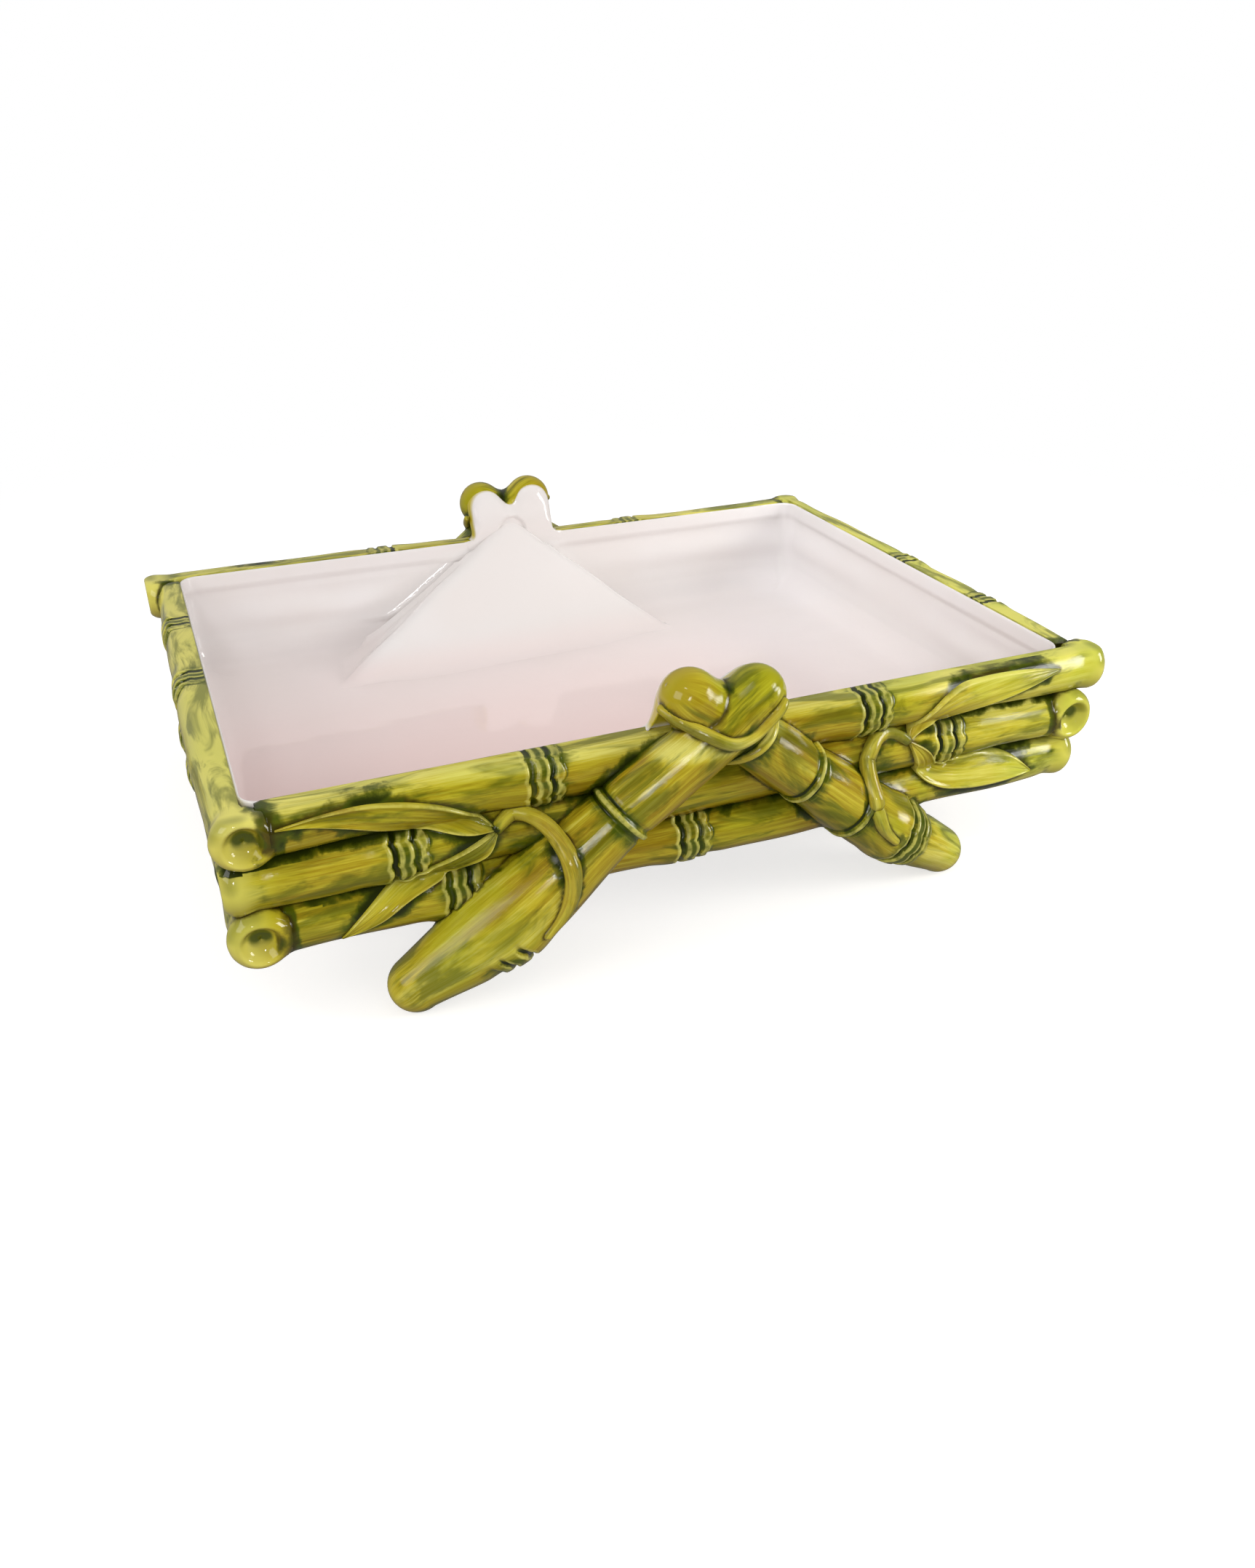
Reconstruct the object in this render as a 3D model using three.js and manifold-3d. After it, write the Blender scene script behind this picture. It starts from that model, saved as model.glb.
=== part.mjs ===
// Footed serving tray in glazed ceramic, formed as if built from bamboo canes.
// Millimetres, Z up from the table, X along the tray, the long front side at minus Y.
// The tray repeats itself when turned half way round, so the back and left pieces
// are the front and right pieces turned about Z.

import * as THREE from 'three';
import { mergeVertices } from 'three/addons/utils/BufferGeometryUtils.js';
import { ConvexGeometry } from 'three/addons/geometries/ConvexGeometry.js';
import Module from 'manifold-3d';

const wasm = await Module();
wasm.setup();

// Gap left between pieces that lie against each other.
const GAP = 0.3;

// Inside of the tray, measured between the rim lips, and its heights over the table.
const INSIDE_LENGTH = 340;
const INSIDE_WIDTH = 232;
const RIM_HEIGHT = 90;
const FLOOR_DEPTH = 49;
const FLOOR_THICKNESS = 6.5;
const INSIDE_CORNER = 7;

// Section of the basin wall. The lip stands proud of the wall below it, and the
// outside leans in towards a thin top edge so that the top cane covers it.
const WALL_OUTSET = 5.2;
const EDGE_WIDTH = 1.2;
const EDGE_DROP = 0.5;
const EDGE_TAPER = 8;
const LIP_HEIGHT = 8;
const LIP_STEP = 1.6;
const FLOOR_FILLET = 8;
const FILLET_STEPS = 4;
const UNDERSIDE_CHAMFER = 3;
const CORNER_STEPS = 4;

// Wall canes, stacked in layers around the basin.
const CANE_RADIUS = 10.4;
const CANE_PITCH = 20.2;
const CANE_OUTSET = 2.5;
const TOP_CANE_DROP = 8.8;
const CANE_SIDES = 14;
const LAYERS = ['top', 'middle', 'bottom'];
const LONG_CANE_OVERHANG = { top: 14, middle: 9.5, bottom: 6 };
const SHORT_CANE_OVERHANG = 11.5;

// Open end of a cane: a rolled lip around a dished hollow.
const LIP_NECK = 0.9;
const LIP_LENGTH = 4.5;
const LIP_ROUND = 1.6;
const HOLLOW_RADIUS = 5.4;
const HOLLOW_DEPTH = 6;

// Bamboo joint on a cane: a flared sheath end, a groove, a ring and a second groove.
const JOINT_RISE = 0.9;
const JOINT_GROOVE = 0.8;
const JOINT_HALF = 7.5;
const JOINT_SHEATH = 3;
const JOINT_RING = 5;
const JOINT_EDGE = 0.7;

// Places of the joints along the canes, as shares of the inside length or width.
const LONG_JOINTS = { top: [-0.205, 0.2], middle: [-0.355, 0.315], bottom: [-0.3, -0.03] };
const SHORT_JOINTS = { top: [-0.25, 0.02], middle: [0.15], bottom: [-0.17] };

// Legs: two canes on each long side that cross above the rim and end in stubs. The spread
// is a share of the inside length; rings and joint lie at shares of the leg's length.
const LEG_RADIUS_TOP = 11.2;
const LEG_RADIUS_FOOT = { left: 15.2, right: 13.4 };
const LEG_SIDES = 14;
const LEG_ROUND_STEPS = 4;
const LEG_TRIM = 3.5;
const FRONT_LEG_OUTSET = 16;
const REAR_LEG_OUTSET = 11.5;
const FOOT_OUTSET = { left: 12, right: 9 };
const CROSSING_HEIGHT = 5;
const CROSSING_SHIFT = -0.5;
const LEG_SPREAD = { left: 0.35, right: 0.306 };
const STUB_LENGTH = { left: 26.5, right: 29 };
const STUB_ROUND = 11;
const FOOT_ROUND = 17;
const FOOT_SINK = 1.2;
const LEG_RING_WIDTH = 4;
const LEG_RING_RISE = 1.1;
const LEG_RINGS = [0.328, 0.617];
const LEG_JOINT = 0.748;

// Tie bound around the crossing.
const TIE_RADIUS = 2.3;
const TIE_SINK = 0.6;
const TIE_SIDES = 6;
const TIE_STEPS = 11;
const TIE_SHIFT = -3;
const TIE_HALF_WIDTH = 20.5;
const TIE_HEIGHT = 7;
const TIE_SAG = 10;

// White backing inside each crossing: a tab behind the stubs and a buttress below it. Its
// tips lie at shares of half the inside length and reach out by shares of half the width.
const TAB_MARGIN = 2.2;
const TAB_DROP = 13.5;
const TAB_ROUND_STEPS = 10;
const BUTTRESS_HEIGHT = 12;
const BUTTRESS_TOP_HALF = 7;
const BUTTRESS_LONG_TIP = 0.63;
const BUTTRESS_SHORT_TIP = 0.459;
const BUTTRESS_LONG_REACH = 0.397;
const BUTTRESS_SHORT_REACH = 0.31;
const BUTTRESS_TUCK = 6;
const BUTTRESS_ROUND = 4;
const BUTTRESS_ROUND_STEPS = 6;

// Leaf sprigs, one on each half of a long side. A spot lies along by a share of half the
// inside length and down from the rim by a share of the cane pitch. The widest half of a
// leaf is a share of the cane radius.
const SPRIG_KNOT = { along: 0.512, down: 1.14 };
const SPRIG_LEAVES = {
  left: {
    upper: { bend: { along: 0.659, down: 0.3 }, tip: { along: 0.959, down: 0.25 }, half: 0.635 },
    lower: { bend: { along: 0.588, down: 1.98 }, tip: { along: 0.865, down: 2.72 }, half: 0.442 },
  },
  right: {
    upper: { bend: { along: 0.624, down: 0.3 }, tip: { along: 0.947, down: 0.25 }, half: 0.635 },
    lower: { bend: { along: 0.547, down: 2.43 }, tip: { along: 0.912, down: 2.48 }, half: 0.577 },
  },
};
const STEM_OUT = { along: 0.394, down: 0.446 };
const STEM_DOWN = { along: 0.329, down: 2.08 };
const STEM_END = { along: 0.447, down: 2.97 };
const LEAF_THICKNESS = 2.2;
const LEAF_EDGE_SHARE = 0.55;
const LEAF_STEPS = 11;
const LEAF_ACROSS = 4;
const LEAF_ROOT = 5.2;
const LEAF_FULLNESS = 0.75;
const CREVICE_BRIDGE = 0.8;
const DRAPE_SLOPE = 1.1;
const STEM_RADIUS = 2.1;
const STEM_SIDES = 6;
const STEM_STEPS = 12;

// Sizes that follow from the ones above.
const HALF_LENGTH = INSIDE_LENGTH / 2;
const HALF_WIDTH = INSIDE_WIDTH / 2;
const CANE_X = HALF_LENGTH + CANE_OUTSET;
const CANE_Y = HALF_WIDTH + CANE_OUTSET;
const FLOOR_HEIGHT = RIM_HEIGHT - FLOOR_DEPTH;
const UNDERSIDE_HEIGHT = FLOOR_HEIGHT - FLOOR_THICKNESS;
const LEG_BACK = CANE_Y + LEG_TRIM;
const CROSSING_Z = RIM_HEIGHT + CROSSING_HEIGHT;
const FAR = 10 * INSIDE_LENGTH;

function layerHeight(layer) {
  return RIM_HEIGHT - TOP_CANE_DROP - CANE_PITCH * LAYERS.indexOf(layer);
}

// Closed surface through a row of rings. A ring of one point closes an end.
function skin(rings) {
  const positions = [];
  const starts = [];
  for (const ring of rings) {
    starts.push(positions.length / 3);
    for (const point of ring) positions.push(point.x, point.y, point.z);
  }
  const corner = (row, i) => starts[row] + (i % rings[row].length);
  const triangles = [];
  for (let row = 0; row + 1 < rings.length; row += 1) {
    const count = Math.max(rings[row].length, rings[row + 1].length);
    for (let i = 0; i < count; i += 1) {
      if (rings[row].length > 1) triangles.push(corner(row, i), corner(row, i + 1), corner(row + 1, i));
      if (rings[row + 1].length > 1) {
        triangles.push(corner(row, i + 1), corner(row + 1, i + 1), corner(row + 1, i));
      }
    }
  }
  const geometry = new THREE.BufferGeometry();
  geometry.setAttribute('position', new THREE.Float32BufferAttribute(positions, 3));
  geometry.setIndex(triangles);
  return geometry;
}

function signedVolume(geometry) {
  const place = geometry.attributes.position;
  const index = geometry.index.array;
  const corners = [new THREE.Vector3(), new THREE.Vector3(), new THREE.Vector3()];
  let total = 0;
  for (let i = 0; i < index.length; i += 3) {
    corners.forEach((corner, k) => corner.fromBufferAttribute(place, index[i + k]));
    total += corners[0].dot(corners[1].clone().cross(corners[2]));
  }
  return total;
}

// Solid made from a closed geometry, turned to face out if it was drawn inside out.
function solidFrom(source) {
  const bare = source.clone();
  bare.deleteAttribute('normal');
  bare.deleteAttribute('uv');
  const geometry = mergeVertices(bare);
  const welded = geometry.index.array;
  const triangles = [];
  for (let i = 0; i < welded.length; i += 3) {
    const corners = new Set([welded[i], welded[i + 1], welded[i + 2]]);
    if (corners.size === 3) triangles.push(...corners);
  }
  geometry.setIndex(triangles);
  if (signedVolume(geometry) < 0) triangles.reverse();
  const vertProperties = Float32Array.from(geometry.attributes.position.array);
  const triVerts = Uint32Array.from(triangles);
  return new wasm.Manifold(new wasm.Mesh({ numProp: 3, vertProperties, triVerts }));
}

// The main body of a solid, without crumbs left over by a cut.
function mainBody(solid) {
  const bodies = solid.decompose();
  return bodies.reduce((best, body) => (body.volume() > best.volume() ? body : best));
}

function boxBetween(low, high) {
  const size = high.clone().sub(low);
  const centre = low.clone().add(high).multiplyScalar(0.5);
  const box = new THREE.BoxGeometry(size.x, size.y, size.z);
  box.translate(centre.x, centre.y, centre.z);
  return solidFrom(box);
}

function halfTurn(solid) {
  return solid.rotate([0, 0, 180]);
}

// Ring of the basin: a rounded rectangle a given distance outside the inner rim.
function basinRing(outset, height) {
  const radius = INSIDE_CORNER + outset;
  const ring = [];
  const signs = [[1, 1], [-1, 1], [-1, -1], [1, -1]];
  signs.forEach(([sx, sy], quarter) => {
    for (let step = 0; step <= CORNER_STEPS; step += 1) {
      const angle = (quarter + step / CORNER_STEPS) * Math.PI / 2;
      const x = sx * (HALF_LENGTH - INSIDE_CORNER) + radius * Math.cos(angle);
      const y = sy * (HALF_WIDTH - INSIDE_CORNER) + radius * Math.sin(angle);
      ring.push(new THREE.Vector3(x, y, height));
    }
  });
  return ring;
}

function basinOutside(extra) {
  return [
    [new THREE.Vector3(0, 0, UNDERSIDE_HEIGHT - extra)],
    basinRing(WALL_OUTSET - UNDERSIDE_CHAMFER + extra, UNDERSIDE_HEIGHT - extra),
    basinRing(WALL_OUTSET + extra, UNDERSIDE_HEIGHT + UNDERSIDE_CHAMFER - extra),
    basinRing(WALL_OUTSET + extra, RIM_HEIGHT - EDGE_TAPER),
    basinRing(EDGE_WIDTH + extra, RIM_HEIGHT - EDGE_DROP),
  ];
}

function basinSolid() {
  const rings = basinOutside(0);
  rings.push(basinRing(0, RIM_HEIGHT - EDGE_DROP));
  rings.push(basinRing(0, RIM_HEIGHT - LIP_HEIGHT));
  rings.push(basinRing(LIP_STEP, RIM_HEIGHT - LIP_HEIGHT - LIP_STEP));
  for (let step = 0; step <= FILLET_STEPS; step += 1) {
    const angle = step / FILLET_STEPS * Math.PI / 2;
    const outset = LIP_STEP - FLOOR_FILLET * (1 - Math.cos(angle));
    rings.push(basinRing(outset, FLOOR_HEIGHT + FLOOR_FILLET * (1 - Math.sin(angle))));
  }
  rings.push([new THREE.Vector3(0, 0, FLOOR_HEIGHT)]);
  return solidFrom(skin(rings));
}

// The basin filled up to above its rim, for cutting the pieces that lie against it.
function basinBlock(extra) {
  const rings = basinOutside(extra);
  rings.push(basinRing(EDGE_WIDTH + extra, RIM_HEIGHT + GAP));
  rings.push([new THREE.Vector3(0, 0, RIM_HEIGHT + GAP)]);
  return solidFrom(skin(rings));
}

// Round bar turned from stations of distance and radius and laid along a direction.
function turnedBar(start, direction, up, stations, sides) {
  const profile = stations.map(([distance, radius]) => new THREE.Vector2(radius, distance));
  const across = direction.clone().cross(up).normalize();
  const lie = new THREE.Matrix4().makeBasis(across, direction, up).setPosition(start);
  return solidFrom(new THREE.LatheGeometry(profile, sides).applyMatrix4(lie));
}

// Stations of one bamboo joint centred at a distance along a cane.
function jointStations(place, radius) {
  const sheathEnd = place - JOINT_HALF + JOINT_SHEATH;
  const ringStart = place + JOINT_EDGE - JOINT_RING / 2;
  const ringEnd = place + JOINT_EDGE + JOINT_RING / 2;
  return [
    [place - JOINT_HALF - JOINT_SHEATH, radius],
    [sheathEnd, radius + JOINT_RISE],
    [(sheathEnd + ringStart) / 2, radius - JOINT_GROOVE],
    [ringStart, radius + JOINT_RISE],
    [ringEnd, radius + JOINT_RISE],
    [ringEnd + JOINT_EDGE, radius - JOINT_GROOVE],
    [place + JOINT_HALF, radius],
  ];
}

// Stations of a cane that starts plain and ends in an open, rolled lip.
function caneStations(length, joints, extra) {
  const radius = CANE_RADIUS + extra;
  const end = length + extra;
  const stations = [[0, 0], [0, radius]];
  for (const joint of joints) stations.push(...jointStations(joint, radius));
  stations.push([end - 2 * LIP_LENGTH, radius]);
  stations.push([end - LIP_LENGTH, radius - LIP_NECK]);
  stations.push([end - LIP_ROUND, radius]);
  stations.push([end, radius - LIP_ROUND]);
  if (extra > 0) {
    stations.push([end, 0]);
  } else {
    stations.push([end - LIP_ROUND / 2, HOLLOW_RADIUS + LIP_ROUND / 2]);
    stations.push([end - HOLLOW_DEPTH, HOLLOW_RADIUS / 2]);
    stations.push([end - HOLLOW_DEPTH, 0]);
  }
  return stations;
}

// The way a layer turns: the front cane runs past the right corner or the left one.
function layerHand(layer) {
  return layer === 'middle' ? -1 : 1;
}

// A front or right cane before cutting. It starts on the axis of the cane that it butts
// against and runs on past the opposite corner.
function roughCane(side, layer, extra) {
  const hand = layerHand(layer);
  const height = layerHeight(layer);
  const up = new THREE.Vector3(0, 0, 1);
  if (side === 'front') {
    const start = new THREE.Vector3(-hand * CANE_X, -CANE_Y, height);
    const length = 2 * CANE_X + LONG_CANE_OVERHANG[layer];
    const joints = LONG_JOINTS[layer].map((share) => CANE_X + hand * share * INSIDE_LENGTH);
    joints.sort((a, b) => a - b);
    const stations = caneStations(length, joints, extra);
    return turnedBar(start, new THREE.Vector3(hand, 0, 0), up, stations, CANE_SIDES);
  }
  const start = new THREE.Vector3(CANE_X, -hand * CANE_Y, height);
  const length = 2 * CANE_Y + SHORT_CANE_OVERHANG;
  const joints = SHORT_JOINTS[layer].map((share) => CANE_Y + hand * share * INSIDE_WIDTH);
  joints.sort((a, b) => a - b);
  const stations = caneStations(length, joints, extra);
  return turnedBar(start, new THREE.Vector3(0, hand, 0), up, stations, CANE_SIDES);
}

// The flat slice of height that one layer of canes may fill.
function layerSlice(layer) {
  const height = layerHeight(layer);
  const top = layer === LAYERS[0] ? RIM_HEIGHT : height + CANE_PITCH / 2 - GAP / 2;
  const bottom = layer === LAYERS[LAYERS.length - 1] ? -FAR : height - CANE_PITCH / 2 + GAP / 2;
  return boxBetween(new THREE.Vector3(-FAR, -FAR, bottom), new THREE.Vector3(FAR, FAR, top));
}

// The cane that a front or right cane butts against, as a cutter.
function buttedCane(side, layer) {
  const other = roughCane(side === 'front' ? 'right' : 'front', layer, GAP);
  const sameCorner = (side === 'front') === (layerHand(layer) < 0);
  return sameCorner ? other : halfTurn(other);
}

function finishedCane(side, layer, block) {
  const rough = roughCane(side, layer, 0).intersect(layerSlice(layer));
  return mainBody(rough.subtract(block).subtract(buttedCane(side, layer)));
}

// Straight axis of a leg in the upright plane of the long side. The front leg stands to
// the left and its stub to the right; the rear leg is the other way round.
const LEG_SIDE = { left: -1, right: 1 };
const LEG_OUTSET = { left: FRONT_LEG_OUTSET, right: REAR_LEG_OUTSET };

function crossing(side) {
  return new THREE.Vector3(CROSSING_SHIFT, -CANE_Y - LEG_OUTSET[side], CROSSING_Z);
}

// From the crossing to the middle of the rounded foot.
function legReach(side) {
  const x = LEG_SIDE[side] * LEG_SPREAD[side] * INSIDE_LENGTH;
  const foot = new THREE.Vector3(x, -CANE_Y - FOOT_OUTSET[side], LEG_RADIUS_FOOT[side] - FOOT_SINK);
  return foot.sub(crossing(side));
}

function legDirection(side) {
  return legReach(side).normalize();
}

function legLength(side) {
  return legReach(side).length() + FOOT_ROUND;
}

function legStart(side) {
  return crossing(side).addScaledVector(legDirection(side), -STUB_LENGTH[side]);
}

function legRadius(side, distance) {
  const share = THREE.MathUtils.clamp(distance / legLength(side), 0, 1);
  return THREE.MathUtils.lerp(LEG_RADIUS_TOP, LEG_RADIUS_FOOT[side], share);
}

// Stations from the stub end to the foot, with distances counted from the crossing.
function legStations(side, extra) {
  const radius = (distance) => legRadius(side, distance) + extra;
  const length = legLength(side);
  const stub = STUB_LENGTH[side];
  const stations = [[-stub - extra, 0]];
  for (let step = 1; step <= LEG_ROUND_STEPS; step += 1) {
    const angle = step / LEG_ROUND_STEPS * Math.PI / 2;
    const place = -stub - extra + STUB_ROUND * (1 - Math.cos(angle));
    stations.push([place, radius(0) * Math.sin(angle)]);
  }
  for (const share of LEG_RINGS) {
    const place = share * length;
    stations.push([place - LEG_RING_WIDTH / 2, radius(place)]);
    stations.push([place, radius(place) + LEG_RING_RISE]);
    stations.push([place + LEG_RING_WIDTH / 2, radius(place)]);
  }
  stations.push(...jointStations(LEG_JOINT * length, radius(LEG_JOINT * length)));
  for (let step = 0; step < LEG_ROUND_STEPS; step += 1) {
    const angle = step / LEG_ROUND_STEPS * Math.PI / 2;
    const place = length - FOOT_ROUND + extra + FOOT_ROUND * Math.sin(angle);
    stations.push([place, radius(length) * Math.cos(angle)]);
  }
  stations.push([length + extra, 0]);
  return stations.map(([place, size]) => [place + stub, size]);
}

function roughLeg(side, extra) {
  const direction = legDirection(side);
  const up = new THREE.Vector3(0, 1, 0).cross(direction).multiplyScalar(-LEG_SIDE[side]).normalize();
  return turnedBar(legStart(side), direction, up, legStations(side, extra), LEG_SIDES);
}

// How far a long side stands out at a point of its face: canes first, legs over them.
function caneRelief(z, depthShare) {
  let best = 0;
  for (const layer of LAYERS) {
    const off = Math.abs(z - layerHeight(layer));
    const square = CANE_RADIUS ** 2 - off ** 2;
    const floor = (depthShare * CANE_RADIUS) ** 2;
    best = Math.max(best, CANE_Y + Math.sqrt(Math.max(square, floor)));
  }
  return best;
}

function legRelief(side, x, z) {
  const start = legStart(side);
  const direction = legDirection(side);
  const flat = new THREE.Vector2(direction.x, direction.z);
  const along = ((x - start.x) * flat.x + (z - start.z) * flat.y) / flat.lengthSq();
  const off = ((x - start.x) * flat.y - (z - start.z) * flat.x) / flat.length();
  const square = legRadius(side, along - STUB_LENGTH[side]) ** 2 - off ** 2;
  if (square <= 0 || along < 0) return 0;
  return -start.y - direction.y * along + Math.sqrt(square);
}

function relief(x, z) {
  return Math.max(caneRelief(z, CREVICE_BRIDGE), legRelief('left', x, z), legRelief('right', x, z));
}

// Lifts the points of a strip off the face so that it rises gently to what it crosses.
function drape(points, lift) {
  const outs = points.map((point) => relief(point.x, point.z));
  return points.map((point, i) => {
    const climbs = points.map((other, j) => {
      const apart = Math.hypot(other.x - point.x, other.z - point.z);
      return outs[j] - DRAPE_SLOPE * apart;
    });
    const out = Math.max(outs[i], ...climbs);
    return new THREE.Vector3(point.x, -out - lift, point.z);
  });
}

// Round strip bent along a curve.
function bentStrip(points, radius, sides) {
  const section = new THREE.Shape();
  section.absarc(0, 0, radius, 0, 2 * Math.PI);
  const extrudePath = new THREE.CatmullRomCurve3(points);
  const steps = points.length - 1;
  // A full circle is drawn with twice as many sides as its curve segments.
  const curveSegments = sides / 2;
  return solidFrom(new THREE.ExtrudeGeometry(section, { steps, extrudePath, curveSegments }));
}

// Tie: a strip that hangs across the front of the crossing from one side to the other.
function tieSolid(extra) {
  const points = [];
  for (let step = 0; step <= TIE_STEPS; step += 1) {
    const share = step / TIE_STEPS * 2 - 1;
    const x = CROSSING_SHIFT + TIE_SHIFT + TIE_HALF_WIDTH * Math.sin(share * Math.PI / 2);
    const z = CROSSING_Z + TIE_HEIGHT - TIE_SAG * Math.cos(share * Math.PI / 2);
    const out = Math.max(legRelief('left', x, z), legRelief('right', x, z), LEG_BACK + TIE_RADIUS);
    points.push(new THREE.Vector3(x, -out - TIE_RADIUS + TIE_SINK, z));
  }
  return bentStrip(points, TIE_RADIUS + extra, TIE_SIDES);
}

// A sprig's spot on the face of the long side: x, and height over the rim.
function facePoint(spot) {
  return new THREE.Vector2(spot.along * HALF_LENGTH, -spot.down * CANE_PITCH);
}

// Stem of a sprig: leaves the knot, loops over the leg and runs down to its lower ring.
function stemSolid(side, extra) {
  const sign = LEG_SIDE[side];
  const bends = [SPRIG_KNOT, STEM_OUT, STEM_DOWN, STEM_END].map(facePoint);
  const curve = new THREE.CubicBezierCurve(...bends);
  const points = [];
  for (let step = 0; step <= STEM_STEPS; step += 1) {
    const flat = curve.getPointAt(step / STEM_STEPS);
    points.push(new THREE.Vector3(sign * flat.x, 0, RIM_HEIGHT + flat.y));
  }
  return bentStrip(drape(points, STEM_RADIUS / 2), STEM_RADIUS + extra, STEM_SIDES);
}

// Leaf pressed over the canes: thick in the middle, thinner to its edges, pointed at the tip.
function leafSolid(side, name, extra) {
  const sign = LEG_SIDE[side];
  const shape = SPRIG_LEAVES[side][name];
  const bends = [SPRIG_KNOT, shape.bend, shape.tip].map(facePoint);
  const curve = new THREE.QuadraticBezierCurve(...bends);
  const root = LEAF_ROOT / curve.getLength();
  const inner = CANE_Y + CANE_RADIUS / 2;
  const spot = (flat, lift) => {
    const x = sign * flat.x;
    const z = RIM_HEIGHT + flat.y;
    return new THREE.Vector3(x, -relief(x, z) - lift, z);
  };
  const rings = [];
  for (let step = 1; step < LEAF_STEPS; step += 1) {
    const share = step / LEAF_STEPS;
    const along = THREE.MathUtils.lerp(root, 1, share);
    const centre = curve.getPointAt(along);
    const heading = curve.getTangentAt(along);
    const across = new THREE.Vector2(-heading.y, heading.x);
    const half = shape.half * CANE_RADIUS * Math.sin(Math.PI * share ** LEAF_FULLNESS) + extra;
    const outer = [];
    for (let i = 0; i <= LEAF_ACROSS; i += 1) {
      const side01 = i / LEAF_ACROSS * 2 - 1;
      const flat = centre.clone().addScaledVector(across, half * side01);
      outer.push(spot(flat, extra + LEAF_THICKNESS * (1 - LEAF_EDGE_SHARE * side01 ** 2)));
    }
    const under = outer.map((point) => new THREE.Vector3(point.x, -inner, point.z));
    rings.push([...outer, ...under.reverse()]);
  }
  rings.unshift([spot(curve.getPointAt(root), 0)]);
  rings.push([spot(curve.getPointAt(1), 0)]);
  return solidFrom(skin(rings));
}

// Upright bar behind one stub, used for the tab of the backing.
function tabBar(side) {
  const direction = legDirection(side);
  const radius = LEG_RADIUS_TOP - TAB_MARGIN;
  const end = new THREE.Vector2(CROSSING_SHIFT, CROSSING_Z);
  const along = new THREE.Vector2(-direction.x, -direction.z);
  end.addScaledVector(along, STUB_LENGTH[side] - TAB_DROP - radius);
  const foot = end.clone().addScaledVector(along, -2 * STUB_LENGTH[side]);
  const across = new THREE.Vector2(-along.y, along.x).multiplyScalar(radius);
  const outline = new THREE.Shape();
  outline.moveTo(foot.x + across.x, foot.y + across.y);
  outline.lineTo(foot.x - across.x, foot.y - across.y);
  for (let step = 0; step <= TAB_ROUND_STEPS; step += 1) {
    const angle = step / TAB_ROUND_STEPS * Math.PI;
    const x = end.x - across.x * Math.cos(angle) + along.x * radius * Math.sin(angle);
    const y = end.y - across.y * Math.cos(angle) + along.y * radius * Math.sin(angle);
    outline.lineTo(x, y);
  }
  const depth = LEG_BACK - GAP - HALF_WIDTH;
  const bar = new THREE.ExtrudeGeometry(outline, { depth, bevelEnabled: false });
  bar.rotateX(Math.PI / 2);
  bar.translate(0, -HALF_WIDTH, 0);
  return solidFrom(bar);
}

// Buttress: the rounded wedge that leans from the tab down to the tray floor.
function buttressSolid() {
  const wall = -HALF_WIDTH - LIP_STEP - BUTTRESS_ROUND;
  const longX = BUTTRESS_LONG_TIP * HALF_LENGTH;
  const shortX = -BUTTRESS_SHORT_TIP * HALF_LENGTH;
  const longY = -HALF_WIDTH * (1 - BUTTRESS_LONG_REACH) - BUTTRESS_ROUND;
  const shortY = -HALF_WIDTH * (1 - BUTTRESS_SHORT_REACH) - BUTTRESS_ROUND;
  const top = RIM_HEIGHT + BUTTRESS_HEIGHT - BUTTRESS_ROUND;
  const wallY = -HALF_WIDTH - BUTTRESS_ROUND / 2;
  const corners = [
    new THREE.Vector3(-BUTTRESS_TOP_HALF + BUTTRESS_ROUND, wallY, top),
    new THREE.Vector3(BUTTRESS_TOP_HALF - BUTTRESS_ROUND, wallY, top),
    new THREE.Vector3(longX - BUTTRESS_ROUND, longY, FLOOR_HEIGHT),
    new THREE.Vector3(shortX + BUTTRESS_ROUND, shortY, FLOOR_HEIGHT),
    new THREE.Vector3(longX - BUTTRESS_TUCK, wall, FLOOR_HEIGHT),
    new THREE.Vector3(shortX + BUTTRESS_TUCK, wall, FLOOR_HEIGHT),
  ];
  const ball = new THREE.SphereGeometry(BUTTRESS_ROUND, 2 * BUTTRESS_ROUND_STEPS, BUTTRESS_ROUND_STEPS);
  const place = ball.attributes.position;
  const points = [];
  for (const corner of corners) {
    for (let i = 0; i < place.count; i += 1) {
      points.push(new THREE.Vector3().fromBufferAttribute(place, i).add(corner));
    }
  }
  return solidFrom(new ConvexGeometry(points));
}

// Tab and buttress as one piece, kept inside the basin and above its rim.
function backingSolid() {
  const above = boxBetween(
    new THREE.Vector3(-FAR, -LEG_BACK + GAP, RIM_HEIGHT + GAP),
    new THREE.Vector3(FAR, FAR, FAR),
  );
  const tab = tabBar('left').add(tabBar('right')).intersect(above);
  const room = basinInside().add(above);
  return mainBody(buttressSolid().intersect(room).add(tab));
}

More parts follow.
